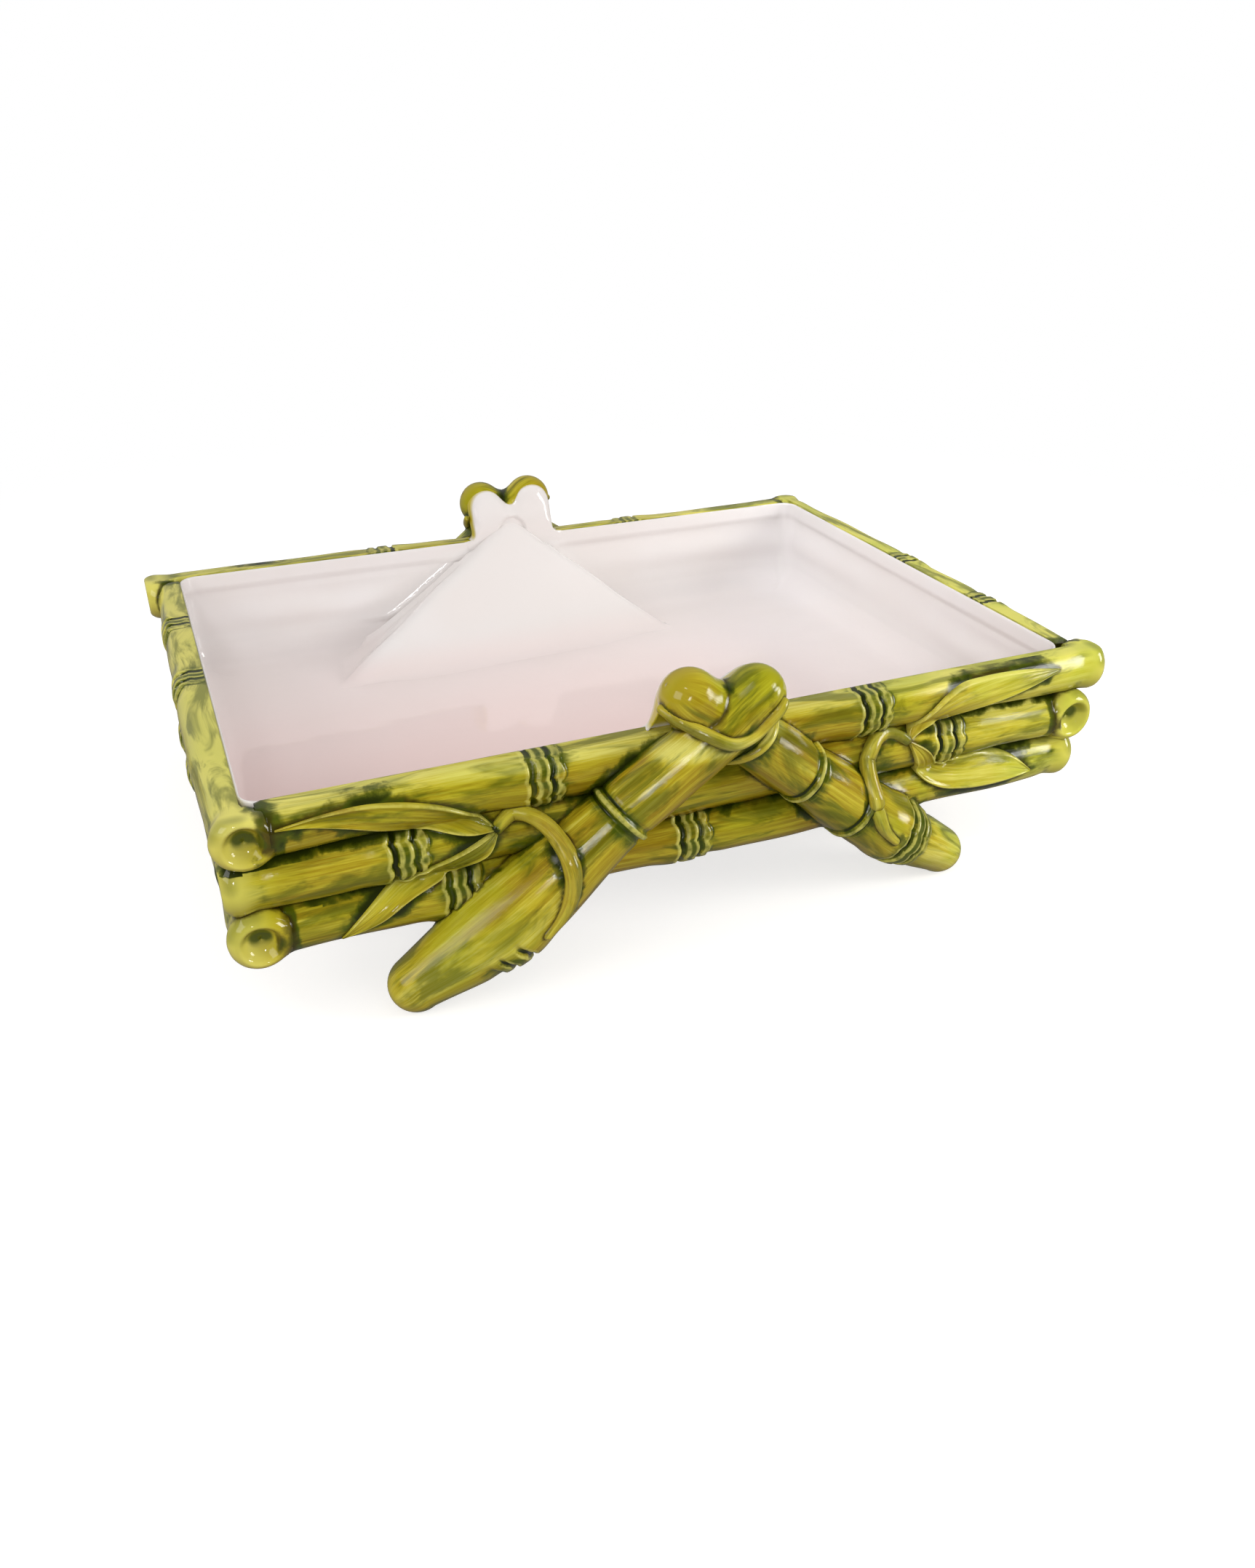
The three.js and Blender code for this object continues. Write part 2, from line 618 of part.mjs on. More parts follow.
// The open space of the basin, drawn a gap small so that what fills it stays clear.
function basinInside() {
  const top = RIM_HEIGHT + 2 * GAP;
  const rings = [[new THREE.Vector3(0, 0, FLOOR_HEIGHT + GAP)]];
  for (let step = FILLET_STEPS; step >= 0; step -= 1) {
    const angle = step / FILLET_STEPS * Math.PI / 2;
    const outset = LIP_STEP - FLOOR_FILLET * (1 - Math.cos(angle)) - GAP;
    rings.push(basinRing(outset, FLOOR_HEIGHT + GAP + FLOOR_FILLET * (1 - Math.sin(angle))));
  }
  rings.push(basinRing(LIP_STEP - GAP, RIM_HEIGHT - LIP_HEIGHT - LIP_STEP - GAP));
  rings.push(basinRing(-GAP, RIM_HEIGHT - LIP_HEIGHT - GAP));
  rings.push(basinRing(-GAP, top));
  rings.push([new THREE.Vector3(0, 0, top)]);
  return solidFrom(skin(rings));
}

const CANE_TONE = 0x8a9a2c;
const LEG_TONE = 0x98a03a;
const LEAF_TONE = 0x6f8f24;
const TIE_TONE = 0x4f6b1c;
const WHITE_TONE = 0xeee6e2;
const GLAZE_ROUGHNESS = 0.25;

const tray = new THREE.Group();
const turned = new THREE.Group();
turned.rotation.z = Math.PI;
tray.add(turned);

function addPiece(group, name, geometry, tone) {
  const material = new THREE.MeshStandardMaterial({ color: tone, roughness: GLAZE_ROUGHNESS, metalness: 0 });
  const piece = new THREE.Mesh(geometry, material);
  piece.name = name;
  group.add(piece);
}

function geometryOf(solid) {
  const mesh = solid.getMesh();
  const geometry = new THREE.BufferGeometry();
  geometry.setAttribute('position', new THREE.Float32BufferAttribute(mesh.vertProperties, 3));
  geometry.setIndex(Array.from(mesh.triVerts));
  geometry.computeVertexNormals();
  return geometry;
}

// A piece of the front or right and its twin turned half way round.
const TWINS = { front: 'back', right: 'left', front_left: 'back_right', front_right: 'back_left' };

function addPair(side, rest, solid, tone) {
  const geometry = geometryOf(solid);
  addPiece(tray, `${side}_${rest}`, geometry, tone);
  addPiece(turned, `${TWINS[side]}_${rest}`, geometry, tone);
}

const block = basinBlock(GAP);
addPiece(tray, 'basin', geometryOf(basinSolid()), WHITE_TONE);

for (const layer of LAYERS) {
  addPair('front', `${layer}_cane`, finishedCane('front', layer, block), CANE_TONE);
  addPair('right', `${layer}_cane`, finishedCane('right', layer, block), CANE_TONE);
}

// The front canes, grown by the gap, cut everything that is laid over them.
const grownCanes = LAYERS.map((layer) => roughCane('front', layer, GAP));
const caneCutter = grownCanes.reduce((sum, cane) => sum.add(cane));
// A leg stays in front of the canes' middles down to the basin and is whole below it.
const besideWall = boxBetween(new THREE.Vector3(-FAR, -FAR, 0), new THREE.Vector3(FAR, -LEG_BACK, FAR));
const underBasin = boxBetween(
  new THREE.Vector3(-FAR, -FAR, 0),
  new THREE.Vector3(FAR, 0, UNDERSIDE_HEIGHT - GAP),
);
const legSpace = besideWall.add(underBasin);
const legCutters = { left: roughLeg('left', GAP), right: roughLeg('right', GAP) };
const tieCutter = tieSolid(GAP);

const frontLeg = mainBody(roughLeg('left', 0).intersect(legSpace).subtract(caneCutter));
const rearLeg = mainBody(
  roughLeg('right', 0).intersect(legSpace).subtract(caneCutter).subtract(legCutters.left),
);
addPair('front_left', 'leg', frontLeg, LEG_TONE);
addPair('front_right', 'leg', rearLeg, LEG_TONE);

const underTie = caneCutter.add(legCutters.left).add(legCutters.right);
addPair('front', 'tie', mainBody(tieSolid(0).intersect(legSpace).subtract(underTie)), TIE_TONE);
addPair('front', 'backing', backingSolid(), WHITE_TONE);

for (const side of Object.keys(LEG_SIDE)) {
  const under = underTie.add(tieCutter);
  const stem = mainBody(stemSolid(side, 0).subtract(under));
  const stemCutter = stemSolid(side, GAP);
  const upper = mainBody(leafSolid(side, 'upper', 0).subtract(under).subtract(stemCutter));
  const upperCutter = leafSolid(side, 'upper', GAP).add(stemCutter);
  const lower = mainBody(leafSolid(side, 'lower', 0).subtract(under).subtract(upperCutter));
  addPair(`front_${side}`, 'stem', stem, LEAF_TONE);
  addPair(`front_${side}`, 'upper_leaf', upper, LEAF_TONE);
  addPair(`front_${side}`, 'lower_leaf', lower, LEAF_TONE);
}

export default tray;
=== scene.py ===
import math

import bpy
import numpy as np
from mathutils import Matrix


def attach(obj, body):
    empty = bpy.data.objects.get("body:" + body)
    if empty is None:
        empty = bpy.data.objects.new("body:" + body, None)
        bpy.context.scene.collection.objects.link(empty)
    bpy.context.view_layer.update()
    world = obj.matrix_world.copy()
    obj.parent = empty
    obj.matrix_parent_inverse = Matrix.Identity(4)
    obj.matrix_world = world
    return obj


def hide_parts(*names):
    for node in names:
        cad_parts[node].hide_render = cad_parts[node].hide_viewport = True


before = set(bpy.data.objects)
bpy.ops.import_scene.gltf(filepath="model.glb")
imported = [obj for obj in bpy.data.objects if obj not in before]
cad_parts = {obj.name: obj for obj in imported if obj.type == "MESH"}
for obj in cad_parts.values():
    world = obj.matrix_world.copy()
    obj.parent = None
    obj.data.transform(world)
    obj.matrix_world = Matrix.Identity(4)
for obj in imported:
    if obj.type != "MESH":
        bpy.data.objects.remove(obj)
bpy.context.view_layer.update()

# The tray is drawn in millimetres from the table up and written to Blender in metres.
MM = 0.001

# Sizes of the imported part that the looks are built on.
HALF_LENGTH = 170.0
HALF_WIDTH = 116.0
INSIDE_CORNER = 7.0
RIM_HEIGHT = 90.0
FLOOR_DEPTH = 49.0
FLOOR_HEIGHT = RIM_HEIGHT - FLOOR_DEPTH
FLOOR_THICKNESS = 6.5
UNDERSIDE_HEIGHT = FLOOR_HEIGHT - FLOOR_THICKNESS
WALL_OUTSET = 5.2
LIP_HEIGHT = 8.0
LIP_STEP = 1.6

# Canes: where their axes lie, and where each one starts, ends and has its joints.
CANE_RADIUS = 10.4
CANE_OUTSET = 2.5
CANE_X = HALF_LENGTH + CANE_OUTSET
CANE_Y = HALF_WIDTH + CANE_OUTSET
CANE_TUCK = 6.5
LAYERS = ("top", "middle", "bottom")
TOP_CANE_DROP = 8.8
CANE_PITCH = 20.2
LAYER_HEIGHT = {layer: RIM_HEIGHT - TOP_CANE_DROP - i * CANE_PITCH for i, layer in enumerate(LAYERS)}
LONG_OVERHANG = {"top": 14.0, "middle": 9.5, "bottom": 6.0}
SHORT_OVERHANG = 11.5
LONG_JOINTS = {"top": (-69.7, 68.0), "middle": (-120.7, 107.1), "bottom": (-102.0, -10.2)}
SHORT_JOINTS = {"top": (-58.0, 4.6), "middle": (34.8,), "bottom": (-39.4,)}

# How closely points lie around joints, rings and ends.
FINE_REACH = 12.0
CANE_STEP, CANE_FINE_STEP = 2.0, 0.7
LEG_STEP, LEG_FINE_STEP = 1.7, 0.75
TINY = 0.001
OUT_OF_REACH = 1000.0


# Small maths shared by the shapes.

def ease(a, b, x):
    """Smooth step from 0 at a to 1 at b."""
    t = np.clip((x - a) / (b - a), 0.0, 1.0)
    return t * t * (3.0 - 2.0 * t)


def soft_min(a, b, k):
    """The smaller value, with the corner rounded over a width of k."""
    h = np.clip(0.5 + 0.5 * (b - a) / k, 0.0, 1.0)
    return b + (a - b) * h - k * h * (1.0 - h)


def soft_max(a, b, k):
    """The larger value, with the corner rounded over a width of k."""
    return -soft_min(-a, -b, k)


def band(x, a, b, soft):
    """1 between a and b, with soft edges."""
    return ease(a - soft, a + soft, x) * (1.0 - ease(b - soft, b + soft, x))


def ridge(x, middle, width):
    """Bell curve of height 1."""
    return np.exp(-(((x - middle) / width) ** 2))


def turned(points):
    """Points turned half way round the middle of the tray."""
    return points * np.array((-1.0, -1.0, 1.0))


def unit(v):
    """A direction of length 1."""
    v = np.asarray(v, float)
    return v / np.linalg.norm(v)


def angles_round(start, count):
    """Angles once round, evenly spaced."""
    return np.linspace(start, start + 2.0 * math.pi, count + 1)[:-1]


def cap_angles(count):
    """Angles from the pole of a rounded end to the ring where the straight part starts."""
    return np.linspace(0.5 * math.pi, 0.0, count + 1)[:-1]


def run_along(path):
    """Length along a path up to each of its points."""
    return np.concatenate(((0.0,), np.cumsum(np.linalg.norm(np.diff(path, axis=0), axis=1))))


def spaced(start, end, step, fine_step, fine_spots):
    """Stations along a piece, closer together around the spots that carry detail."""
    out = [start]
    while out[-1] < end:
        here = out[-1]
        near = any(abs(here - spot) < FINE_REACH for spot in fine_spots)
        out.append(min(end, here + (fine_step if near else step)))
    return np.array(out)


# Bamboo joints: a flared sheath with a scalloped edge, a groove, a ring of petals,
# a second groove and a narrow lobed ring. Places are along the cane from the joint.
JOINT_REACH = 22.0
SHEATH_START, SHEATH_EDGE, SHEATH_RISE = -17.0, -4.8, 0.95
GROOVE_WIDTH, GROOVE_DEPTH = 2.3, 0.95
PETAL_EDGE, PETAL_RISE = 3.0, 1.05
SECOND_GROOVE_WIDTH, SECOND_GROOVE_DEPTH = 1.7, 0.85
RING_EDGE, RING_RISE = 8.0, 0.55
LAST_GROOVE_DEPTH, LAST_GROOVE_FADE = 0.5, 8.0


def joint_relief(x, theta, seed):
    """Height of one joint; x runs along the cane and theta round it."""
    wave = np.abs(np.sin(4.5 * theta + 1.7 * seed + 0.35 * np.sin(2.0 * theta + seed)))
    petal = 1.7 * (wave ** 0.6 - 0.55)
    other = np.abs(np.sin(4.0 * theta + 2.9 * seed + 0.4 * np.sin(3.0 * theta)))
    lobe = 1.9 * (other ** 0.6 - 0.5)
    sheath_edge = SHEATH_EDGE + 0.7 * petal
    petal_start = sheath_edge + GROOVE_WIDTH
    petal_edge = PETAL_EDGE + 0.8 * petal
    ring_start = petal_edge + SECOND_GROOVE_WIDTH
    ring_edge = RING_EDGE + lobe
    out = SHEATH_RISE * ease(SHEATH_START, sheath_edge - 1.0, x)
    out = out * (1.0 - ease(sheath_edge - 0.35, sheath_edge + 0.45, x))
    out = out - GROOVE_DEPTH * band(x, sheath_edge + 0.2, petal_start, 0.5)
    out = out + PETAL_RISE * band(x, petal_start + 0.3, petal_edge, 0.6)
    out = out - SECOND_GROOVE_DEPTH * band(x, petal_edge + 0.2, ring_start, 0.45)
    out = out + RING_RISE * band(x, ring_start + 0.3, ring_edge, 0.8)
    fade = 1.0 - ease(ring_edge + 0.5, ring_edge + LAST_GROOVE_FADE, x)
    return out - LAST_GROOVE_DEPTH * ease(ring_edge - 0.3, ring_edge + 0.5, x) * fade


EDGE_REACH = 2.2


def edges_only(height, stations):
    """What stands above its own surroundings: edges of rings are positive, grooves negative."""
    out = height.copy()
    for i, here in enumerate(stations):
        near = np.abs(stations - here) < EDGE_REACH
        out[i] -= height[near].mean(0)
    return out


# Outline of a cane's rolled open end, from the bar over the lip into the hollow:
# distance from the end, and share of the cane's radius.
ROLLED_END = ((5.0, 0.995), (3.6, 0.975), (2.4, 0.94), (1.4, 0.895), (0.6, 0.84), (0.15, 0.78), (0.0, 0.72),
              (0.25, 0.66), (1.0, 0.60), (2.2, 0.53), (3.4, 0.43), (4.2, 0.30), (4.6, 0.15), (4.7, TINY))
ROLLED_LENGTH = 6.5
HOLLOW_RADIUS, HOLLOW_DEPTH = 6.4, 5.0
HOLLOW_REACH = 8.0

# Angles round a cane, from its outward side: the seen part is drawn finely.
SEEN_FROM, SEEN_TO = -2.35, 2.0
SEEN_COUNT, HIDDEN_COUNT = 50, 8

CANE_ROOM = 13.0
RIM_ROOM = 0.4
CORNER_NEAR, CORNER_FAR = 2.0, 4.5


class Cane:
    """One wall cane: a round bar along the side, open and rolled at its far end."""

    def __init__(self, side, layer, seed):
        hand = -1.0 if layer == "middle" else 1.0
        self.side, self.hand, self.seed = side, hand, seed
        height = LAYER_HEIGHT[layer]
        if side == "front":
            self.start = np.array((-hand * CANE_X, -CANE_Y, height))
            self.along = np.array((hand, 0.0, 0.0))
            self.out = np.array((0.0, -1.0, 0.0))
            self.length = 2.0 * CANE_X + LONG_OVERHANG[layer]
            self.joints = [CANE_X + hand * place for place in LONG_JOINTS[layer]]
            self.inner_end = HALF_LENGTH
        else:
            self.start = np.array((CANE_X, -hand * CANE_Y, height))
            self.along = np.array((0.0, hand, 0.0))
            self.out = np.array((1.0, 0.0, 0.0))
            self.length = 2.0 * CANE_Y + SHORT_OVERHANG
            self.joints = [CANE_Y + hand * place for place in SHORT_JOINTS[layer]]
            self.inner_end = HALF_WIDTH
        end = self.start + self.along * self.length
        self.low = np.minimum(self.start, end) - CANE_ROOM
        self.high = np.maximum(self.start, end) + CANE_ROOM

    def relief(self, s, theta):
        """Height of the joints and the rolled end over the plain cane."""
        out = np.zeros_like(s)
        for i, place in enumerate(self.joints):
            x = self.hand * (s - place)
            near = np.abs(x) < JOINT_REACH
            if near.any():
                out[near] += joint_relief(x[near], theta[near], self.seed + 0.8 * i)
        from_end = self.length - s
        out += 0.9 * ridge(from_end, 4.0, 4.0) - 0.45 * ridge(from_end, 12.5, 3.5)
        return out

    def radius(self, s, theta):
        """Radius of a hand-shaped bar, a little thicker around its joints."""
        plain = CANE_RADIUS + 0.25 * np.sin(s / 21.0 + 2.0 * self.seed)
        plain = plain + 0.2 * np.sin(s / 8.3 + self.seed + np.sin(theta))
        plain = plain + 0.18 * np.sin(3.0 * theta + s / 37.0 + self.seed)
        for place in self.joints:
            plain = plain + 0.35 * ridge(s, place, 30.0)
        return plain + self.relief(s, theta)

    def middle(self, s):
        """How far the axis strays from a straight line, outwards and upwards."""
        sway = 0.55 * np.sin(s / 43.0 + 1.3 * self.seed) + 0.3 * np.sin(s / 17.0 + self.seed)
        lift = 0.45 * np.sin(s / 51.0 + 2.1 * self.seed)
        return sway, lift

    def distance(self, points):
        """Signed distance from the cane, cut off behind the white wall and at the rim."""
        rel = points - self.start
        s = rel @ self.along
        sway, lift = self.middle(s)
        u, v = rel @ self.out - sway, rel[:, 2] - lift
        rho = np.hypot(u, v)
        d = rho - self.radius(s, np.arctan2(v, u))
        d = soft_max(d, s - self.length, 6.0)
        hollow = np.sqrt((rho / HOLLOW_RADIUS) ** 2 + ((s - self.length) / HOLLOW_DEPTH) ** 2)
        d = soft_max(d, -(hollow - 1.0) * HOLLOW_DEPTH, 2.2)
        d = soft_max(d, points[:, 2] - RIM_HEIGHT - RIM_ROOM, 2.5)
        d = np.maximum(d, CANE_TUCK - s)
        inside = inner_outline(points) - wall_cover(points[:, 2])
        return np.maximum(d, -np.maximum(inside, UNDERSIDE_HEIGHT + 2.0 - points[:, 2]))

    def darkening(self, S, T, share):
        """Where green glaze gathers, round the joints and behind the lip, and the hollow end darkened by
        pooled glaze and painted shade, most on its upper side.
        """
        from_end = self.length - S
        hollow = (1.0 - ease(0.15, 0.62, share)) * (from_end < HOLLOW_REACH)
        out = np.zeros_like(S)
        for place in self.joints:
            out = np.maximum(out, 0.75 * ridge(self.hand * (S - place), 2.0, 13.0))
        out = np.maximum(out, 0.45 * ridge(from_end, 13.0, 4.0))
        # Inside the hollow end: pooled glaze and painted shade, darkest on the upper side.
        out = np.maximum(out, hollow * (0.95 + 0.4 * np.sin(T)))
        return np.maximum(out, 0.6 * ridge(from_end, 3.0, 6.0) * ease(0.2, 0.9, np.sin(T + 0.6)))

    def calm(self, grain):
        """1 at the rolled end, where streaks along the grain would meet in a star."""
        return ease(self.length - 14.0, self.length - 6.0, np.abs(grain[..., 0]))

    def build(self):
        """Grid of points with their grain coordinates, edges, and stains with painted shade in the hollow
        end.
        """
        fine = (*self.joints, self.length)
        s = spaced(CANE_TUCK, self.length - ROLLED_LENGTH, CANE_STEP, CANE_FINE_STEP, fine)
        seen = np.linspace(SEEN_FROM, SEEN_TO, SEEN_COUNT)
        hidden = np.linspace(SEEN_TO, 2.0 * math.pi + SEEN_FROM, HIDDEN_COUNT)[1:-1]
        theta = np.concatenate((seen, hidden))
        end_depth, end_share = np.array(ROLLED_END).T
        stations = np.concatenate((s, self.length - end_depth))
        shares = np.concatenate((0.72 + 0.28 * ease(CANE_TUCK, CANE_TUCK + 3.0, s), end_share))
        S, T = np.meshgrid(stations, theta, indexing="ij")
        share = np.repeat(shares[:, None], len(theta), 1)
        R = self.radius(S.ravel(), T.ravel()).reshape(S.shape) * share
        sway, lift = self.middle(S)
        u, v = R * np.cos(T), R * np.sin(T)
        axis = self.start + S[..., None] * self.along
        height = self.start[2] + v + lift
        covered = ease(UNDERSIDE_HEIGHT, UNDERSIDE_HEIGHT + 3.0, height)
        past_corner = np.abs(axis @ np.abs(self.along)) - self.inner_end
        covered = covered * (1.0 - ease(CORNER_NEAR, CORNER_FAR, past_corner))
        limit = wall_cover(height) - CANE_OUTSET
        u = np.where(u + sway < limit, u + covered * (limit - sway - u), u)
        points = axis + (u + sway)[..., None] * self.out
        points[..., 2] += v + lift
        top = RIM_HEIGHT - RIM_ROOM
        z = points[..., 2]
        points[..., 2] = np.where(z > top, top + 0.5 * np.tanh((z - top) / 1.2), z)
        across = T * CANE_RADIUS * np.maximum(share, 0.25)
        grain = np.stack((S * self.hand, across, np.full(S.shape, 7.0 * self.seed)), -1)
        raised = edges_only(self.relief(S.ravel(), T.ravel()).reshape(S.shape), stations)
        return points, grain, raised * (share > 0.93), self.darkening(S, T, share)


# Legs: two canes that cross above the rim. A leg is a path of balls from its stub to
# its foot, with plain rings and one scalloped joint. Places along it run from the crossing.
LEG_PATH = {
    "left": ((11.6, -133.6, 104.2), (-0.5, -134.5, 95.0), (-41.5, -133.6, 65.5),
             (-93.0, -131.5, 25.5), (-121.5, -130.0, 9.2)),
    "right": ((-14.0, -130.8, 105.8), (-0.5, -130.0, 95.0), (36.5, -129.5, 64.5),
              (87.0, -128.5, 24.0), (110.0, -128.5, 9.4)),
}
LEG_RADII = {"left": (11.3, 11.4, 12.0, 16.0, 10.8), "right": (11.4, 11.3, 11.6, 13.4, 10.4)}
LEG_RING = {"left": (50.5,), "right": (48.5, 80.0)}
LEG_JOINT = {"left": 113.0, "right": 111.0}
STUB_CUT = {"left": (0.55, -0.45, 0.75), "right": (-0.5, -0.78, 0.42)}
STUB_CUT_DEPTH = {"left": 1.8, "right": 3.6}
STUB_END, STUB_START = -9.0, -3.0
LEG_RING_HALF, LEG_RING_RISE = 1.1, 1.15
LEG_JOINT_SCALE = 1.2
LEG_AROUND, LEG_CAP_STEPS = 66, 12
LEG_GRAIN_RADIUS = 12.0
LEG_ROOM = 20.0

# Splits in the broken stub of the left leg: angle and depth.
STUB_SPLITS = {"left": ((0.55, 0.9), (0.05, 0.6), (-0.5, 0.7)), "right": ()}
SPLIT_RADIUS, SPLIT_HALF = 11.0, 0.7


def through(points, count):
    """Smooth path through a few points, evenly sampled by their own spacing."""
    p = np.asarray(points, float)
    t = run_along(p[:, :3])
    slopes = np.gradient(p, t, axis=0)
    where = np.linspace(0.0, t[-1], count)
    i = np.clip(np.searchsorted(t, where, side="right") - 1, 0, len(t) - 2)
    h = (t[i + 1] - t[i])[:, None]
    x = ((where - t[i])[:, None]) / h
    a = (1 + 2 * x) * (1 - x) ** 2 * p[i] + x * (1 - x) ** 2 * h * slopes[i]
    return a + x * x * (3 - 2 * x) * p[i + 1] + x * x * (x - 1) * h * slopes[i + 1]


class Leg:
    """One leg from its stub over the crossing down to its rounded foot."""

    def __init__(self, side, seed):
        self.side, self.seed = side, seed
        knots = np.array([(*p, r) for p, r in zip(LEG_PATH[side], LEG_RADII[side])])
        path = through(knots, 120)
        self.head = path[0, :3]
        self.axis = unit(path[-1, :3] - self.head)
        self.t = (path[:, :3] - self.head) @ self.axis
        self.path = path
        self.cross_t = float((knots[1, :3] - self.head) @ self.axis)
        self.face = unit(np.array((0.0, -1.0, 0.0)) - self.axis * -self.axis[1])
        self.side_way = np.cross(self.axis, self.face)
        self.low = path[:, :3].min(0) - LEG_ROOM
        self.high = path[:, :3].max(0) + LEG_ROOM
        self.cut = unit(STUB_CUT[side])
        self.cut_at = self.head + self.cut * (LEG_RADII[side][0] - STUB_CUT_DEPTH[side])

    def centre(self, t):
        """Points of the axis."""
        return np.stack([np.interp(t, self.t, self.path[:, i]) for i in range(3)], -1)

    def plain(self, t):
        """Radius without rings and joint."""
        return np.interp(t, self.t, self.path[:, 3])

    def relief(self, t, theta):
        """Height of the rings, the joint and the splits over the plain leg."""
        x = t - self.cross_t
        out = np.zeros_like(x)
        for place in LEG_RING[self.side]:
            bent = place + 1.2 * np.sin(theta)
            out += LEG_RING_RISE * band(x, bent - LEG_RING_HALF, bent + LEG_RING_HALF, 0.6)
            out -= 0.75 * band(x, bent + 1.4, bent + 3.2, 0.8)
            out -= 0.55 * band(x, bent - 3.2, bent - 1.5, 0.8)
            out += 0.35 * (1.0 - ease(bent - 12.0, bent, x)) * ease(bent - 30.0, bent - 12.0, x)
        from_joint = x - LEG_JOINT[self.side]
        near = np.abs(from_joint) < JOINT_REACH
        if near.any():
            shift = from_joint[near] - 1.5 * np.sin(theta[near])
            strong = 1.0 if self.side == "right" else ease(0.15, -0.5, np.sin(theta[near]))
            out[near] += LEG_JOINT_SCALE * strong * joint_relief(shift, theta[near], self.seed)
        stub = 1.0 - ease(STUB_END, STUB_START, x)
        for angle, deep in STUB_SPLITS[self.side]:
            gap = (theta - angle - 0.02 * x) * SPLIT_RADIUS
            out -= deep * ridge(gap, 0.0, SPLIT_HALF) * stub
        return out

    def distance(self, points):
        """Signed distance from the leg, cut at the stub, the table and behind the white wall."""
        t = (points - self.head) @ self.axis
        held = np.clip(t, self.t[0], self.t[-1])
        rel = points - self.centre(held)
        rho = np.linalg.norm(rel, axis=1)
        theta = np.arctan2(rel @ self.side_way, rel @ self.face)
        d = rho - self.plain(held) - self.relief(held, theta)
        d = soft_max(d, (points - self.cut_at) @ self.cut, 4.0)
        d = soft_max(d, -points[:, 2], 1.5)
        back = np.maximum(inner_outline(points) - 3.0, UNDERSIDE_HEIGHT - 1.0 - points[:, 2])
        return np.maximum(d, -back)

    def darkening(self, x, theta):
        """Where green glaze gathers: at the joint, the rings and under the crossing."""
        out = 0.85 * ridge(x, LEG_JOINT[self.side] + 2.0, 12.0)
        if self.side == "left":
            out = out * (0.2 + 0.8 * ease(0.3, -0.4, np.sin(theta)))
        else:
            out = np.maximum(out, 0.7 * ridge(x, 17.0, 8.0))
        for place in LEG_RING[self.side]:
            out = np.maximum(out, 0.8 * ridge(x, place + 1.5, 7.0))
        return out

    def calm(self, grain):
        """1 at the poles of stub and foot, where streaks along the grain would meet in a star."""
        past_end = np.maximum(self.t[0] - grain[..., 0], grain[..., 0] - self.t[-1])
        return ease(3.0, 10.0, past_end)

    def build(self):
        """Grid of points with their grain coordinates, edges and stains."""
        fine = [self.cross_t + place for place in (*LEG_RING[self.side], LEG_JOINT[self.side])]
        t = spaced(self.t[0], self.t[-1], LEG_STEP, LEG_FINE_STEP, fine)
        theta = angles_round(-math.pi, LEG_AROUND)
        caps = cap_angles(LEG_CAP_STEPS)
        head_cap = self.t[0] - self.path[0, 3] * np.sin(caps)
        foot_cap = self.t[-1] + self.path[-1, 3] * np.sin(caps[::-1])
        stations = np.concatenate((head_cap, t, foot_cap))
        shares = np.concatenate((np.cos(caps), np.ones(len(t)), np.cos(caps[::-1])))
        S, T = np.meshgrid(stations, theta, indexing="ij")
        held = np.clip(S, self.t[0], self.t[-1])
        relief = self.relief(held.ravel(), T.ravel()).reshape(S.shape)
        R = (self.plain(held) + relief) * np.maximum(shares, TINY)[:, None]
        points = self.centre(held) + (S - held)[..., None] * self.axis
        points = points + (R * np.cos(T))[..., None] * self.face + (R * np.sin(T))[..., None] * self.side_way
        points[..., 2] = soft_max(points[..., 2], 0.0, 0.8)
        grain = np.stack((S, T * LEG_GRAIN_RADIUS, np.full(S.shape, 7.0 * self.seed + 40.0)), -1)
        return points, grain, edges_only(relief, stations), self.darkening(held - self.cross_t, T)


def wall_cover(z):
    """How far outside the inner rim the canes stop, so that the white wall hides them."""
    return 3.8 - 2.8 * ease(RIM_HEIGHT - LIP_HEIGHT, RIM_HEIGHT - 4.0, z)


def inner_outline(points):
    """Signed distance in plan from the inner rim; negative inside the tray."""
    q = np.abs(points[:, :2]) - np.array((HALF_LENGTH - INSIDE_CORNER, HALF_WIDTH - INSIDE_CORNER))
    out = np.hypot(np.maximum(q[:, 0], 0.0), np.maximum(q[:, 1], 0.0))
    return out + np.minimum(np.maximum(q[:, 0], q[:, 1]), 0.0) - INSIDE_CORNER


# Strips: stems of the sprigs and the tie, round bars along a path that lies on the face.

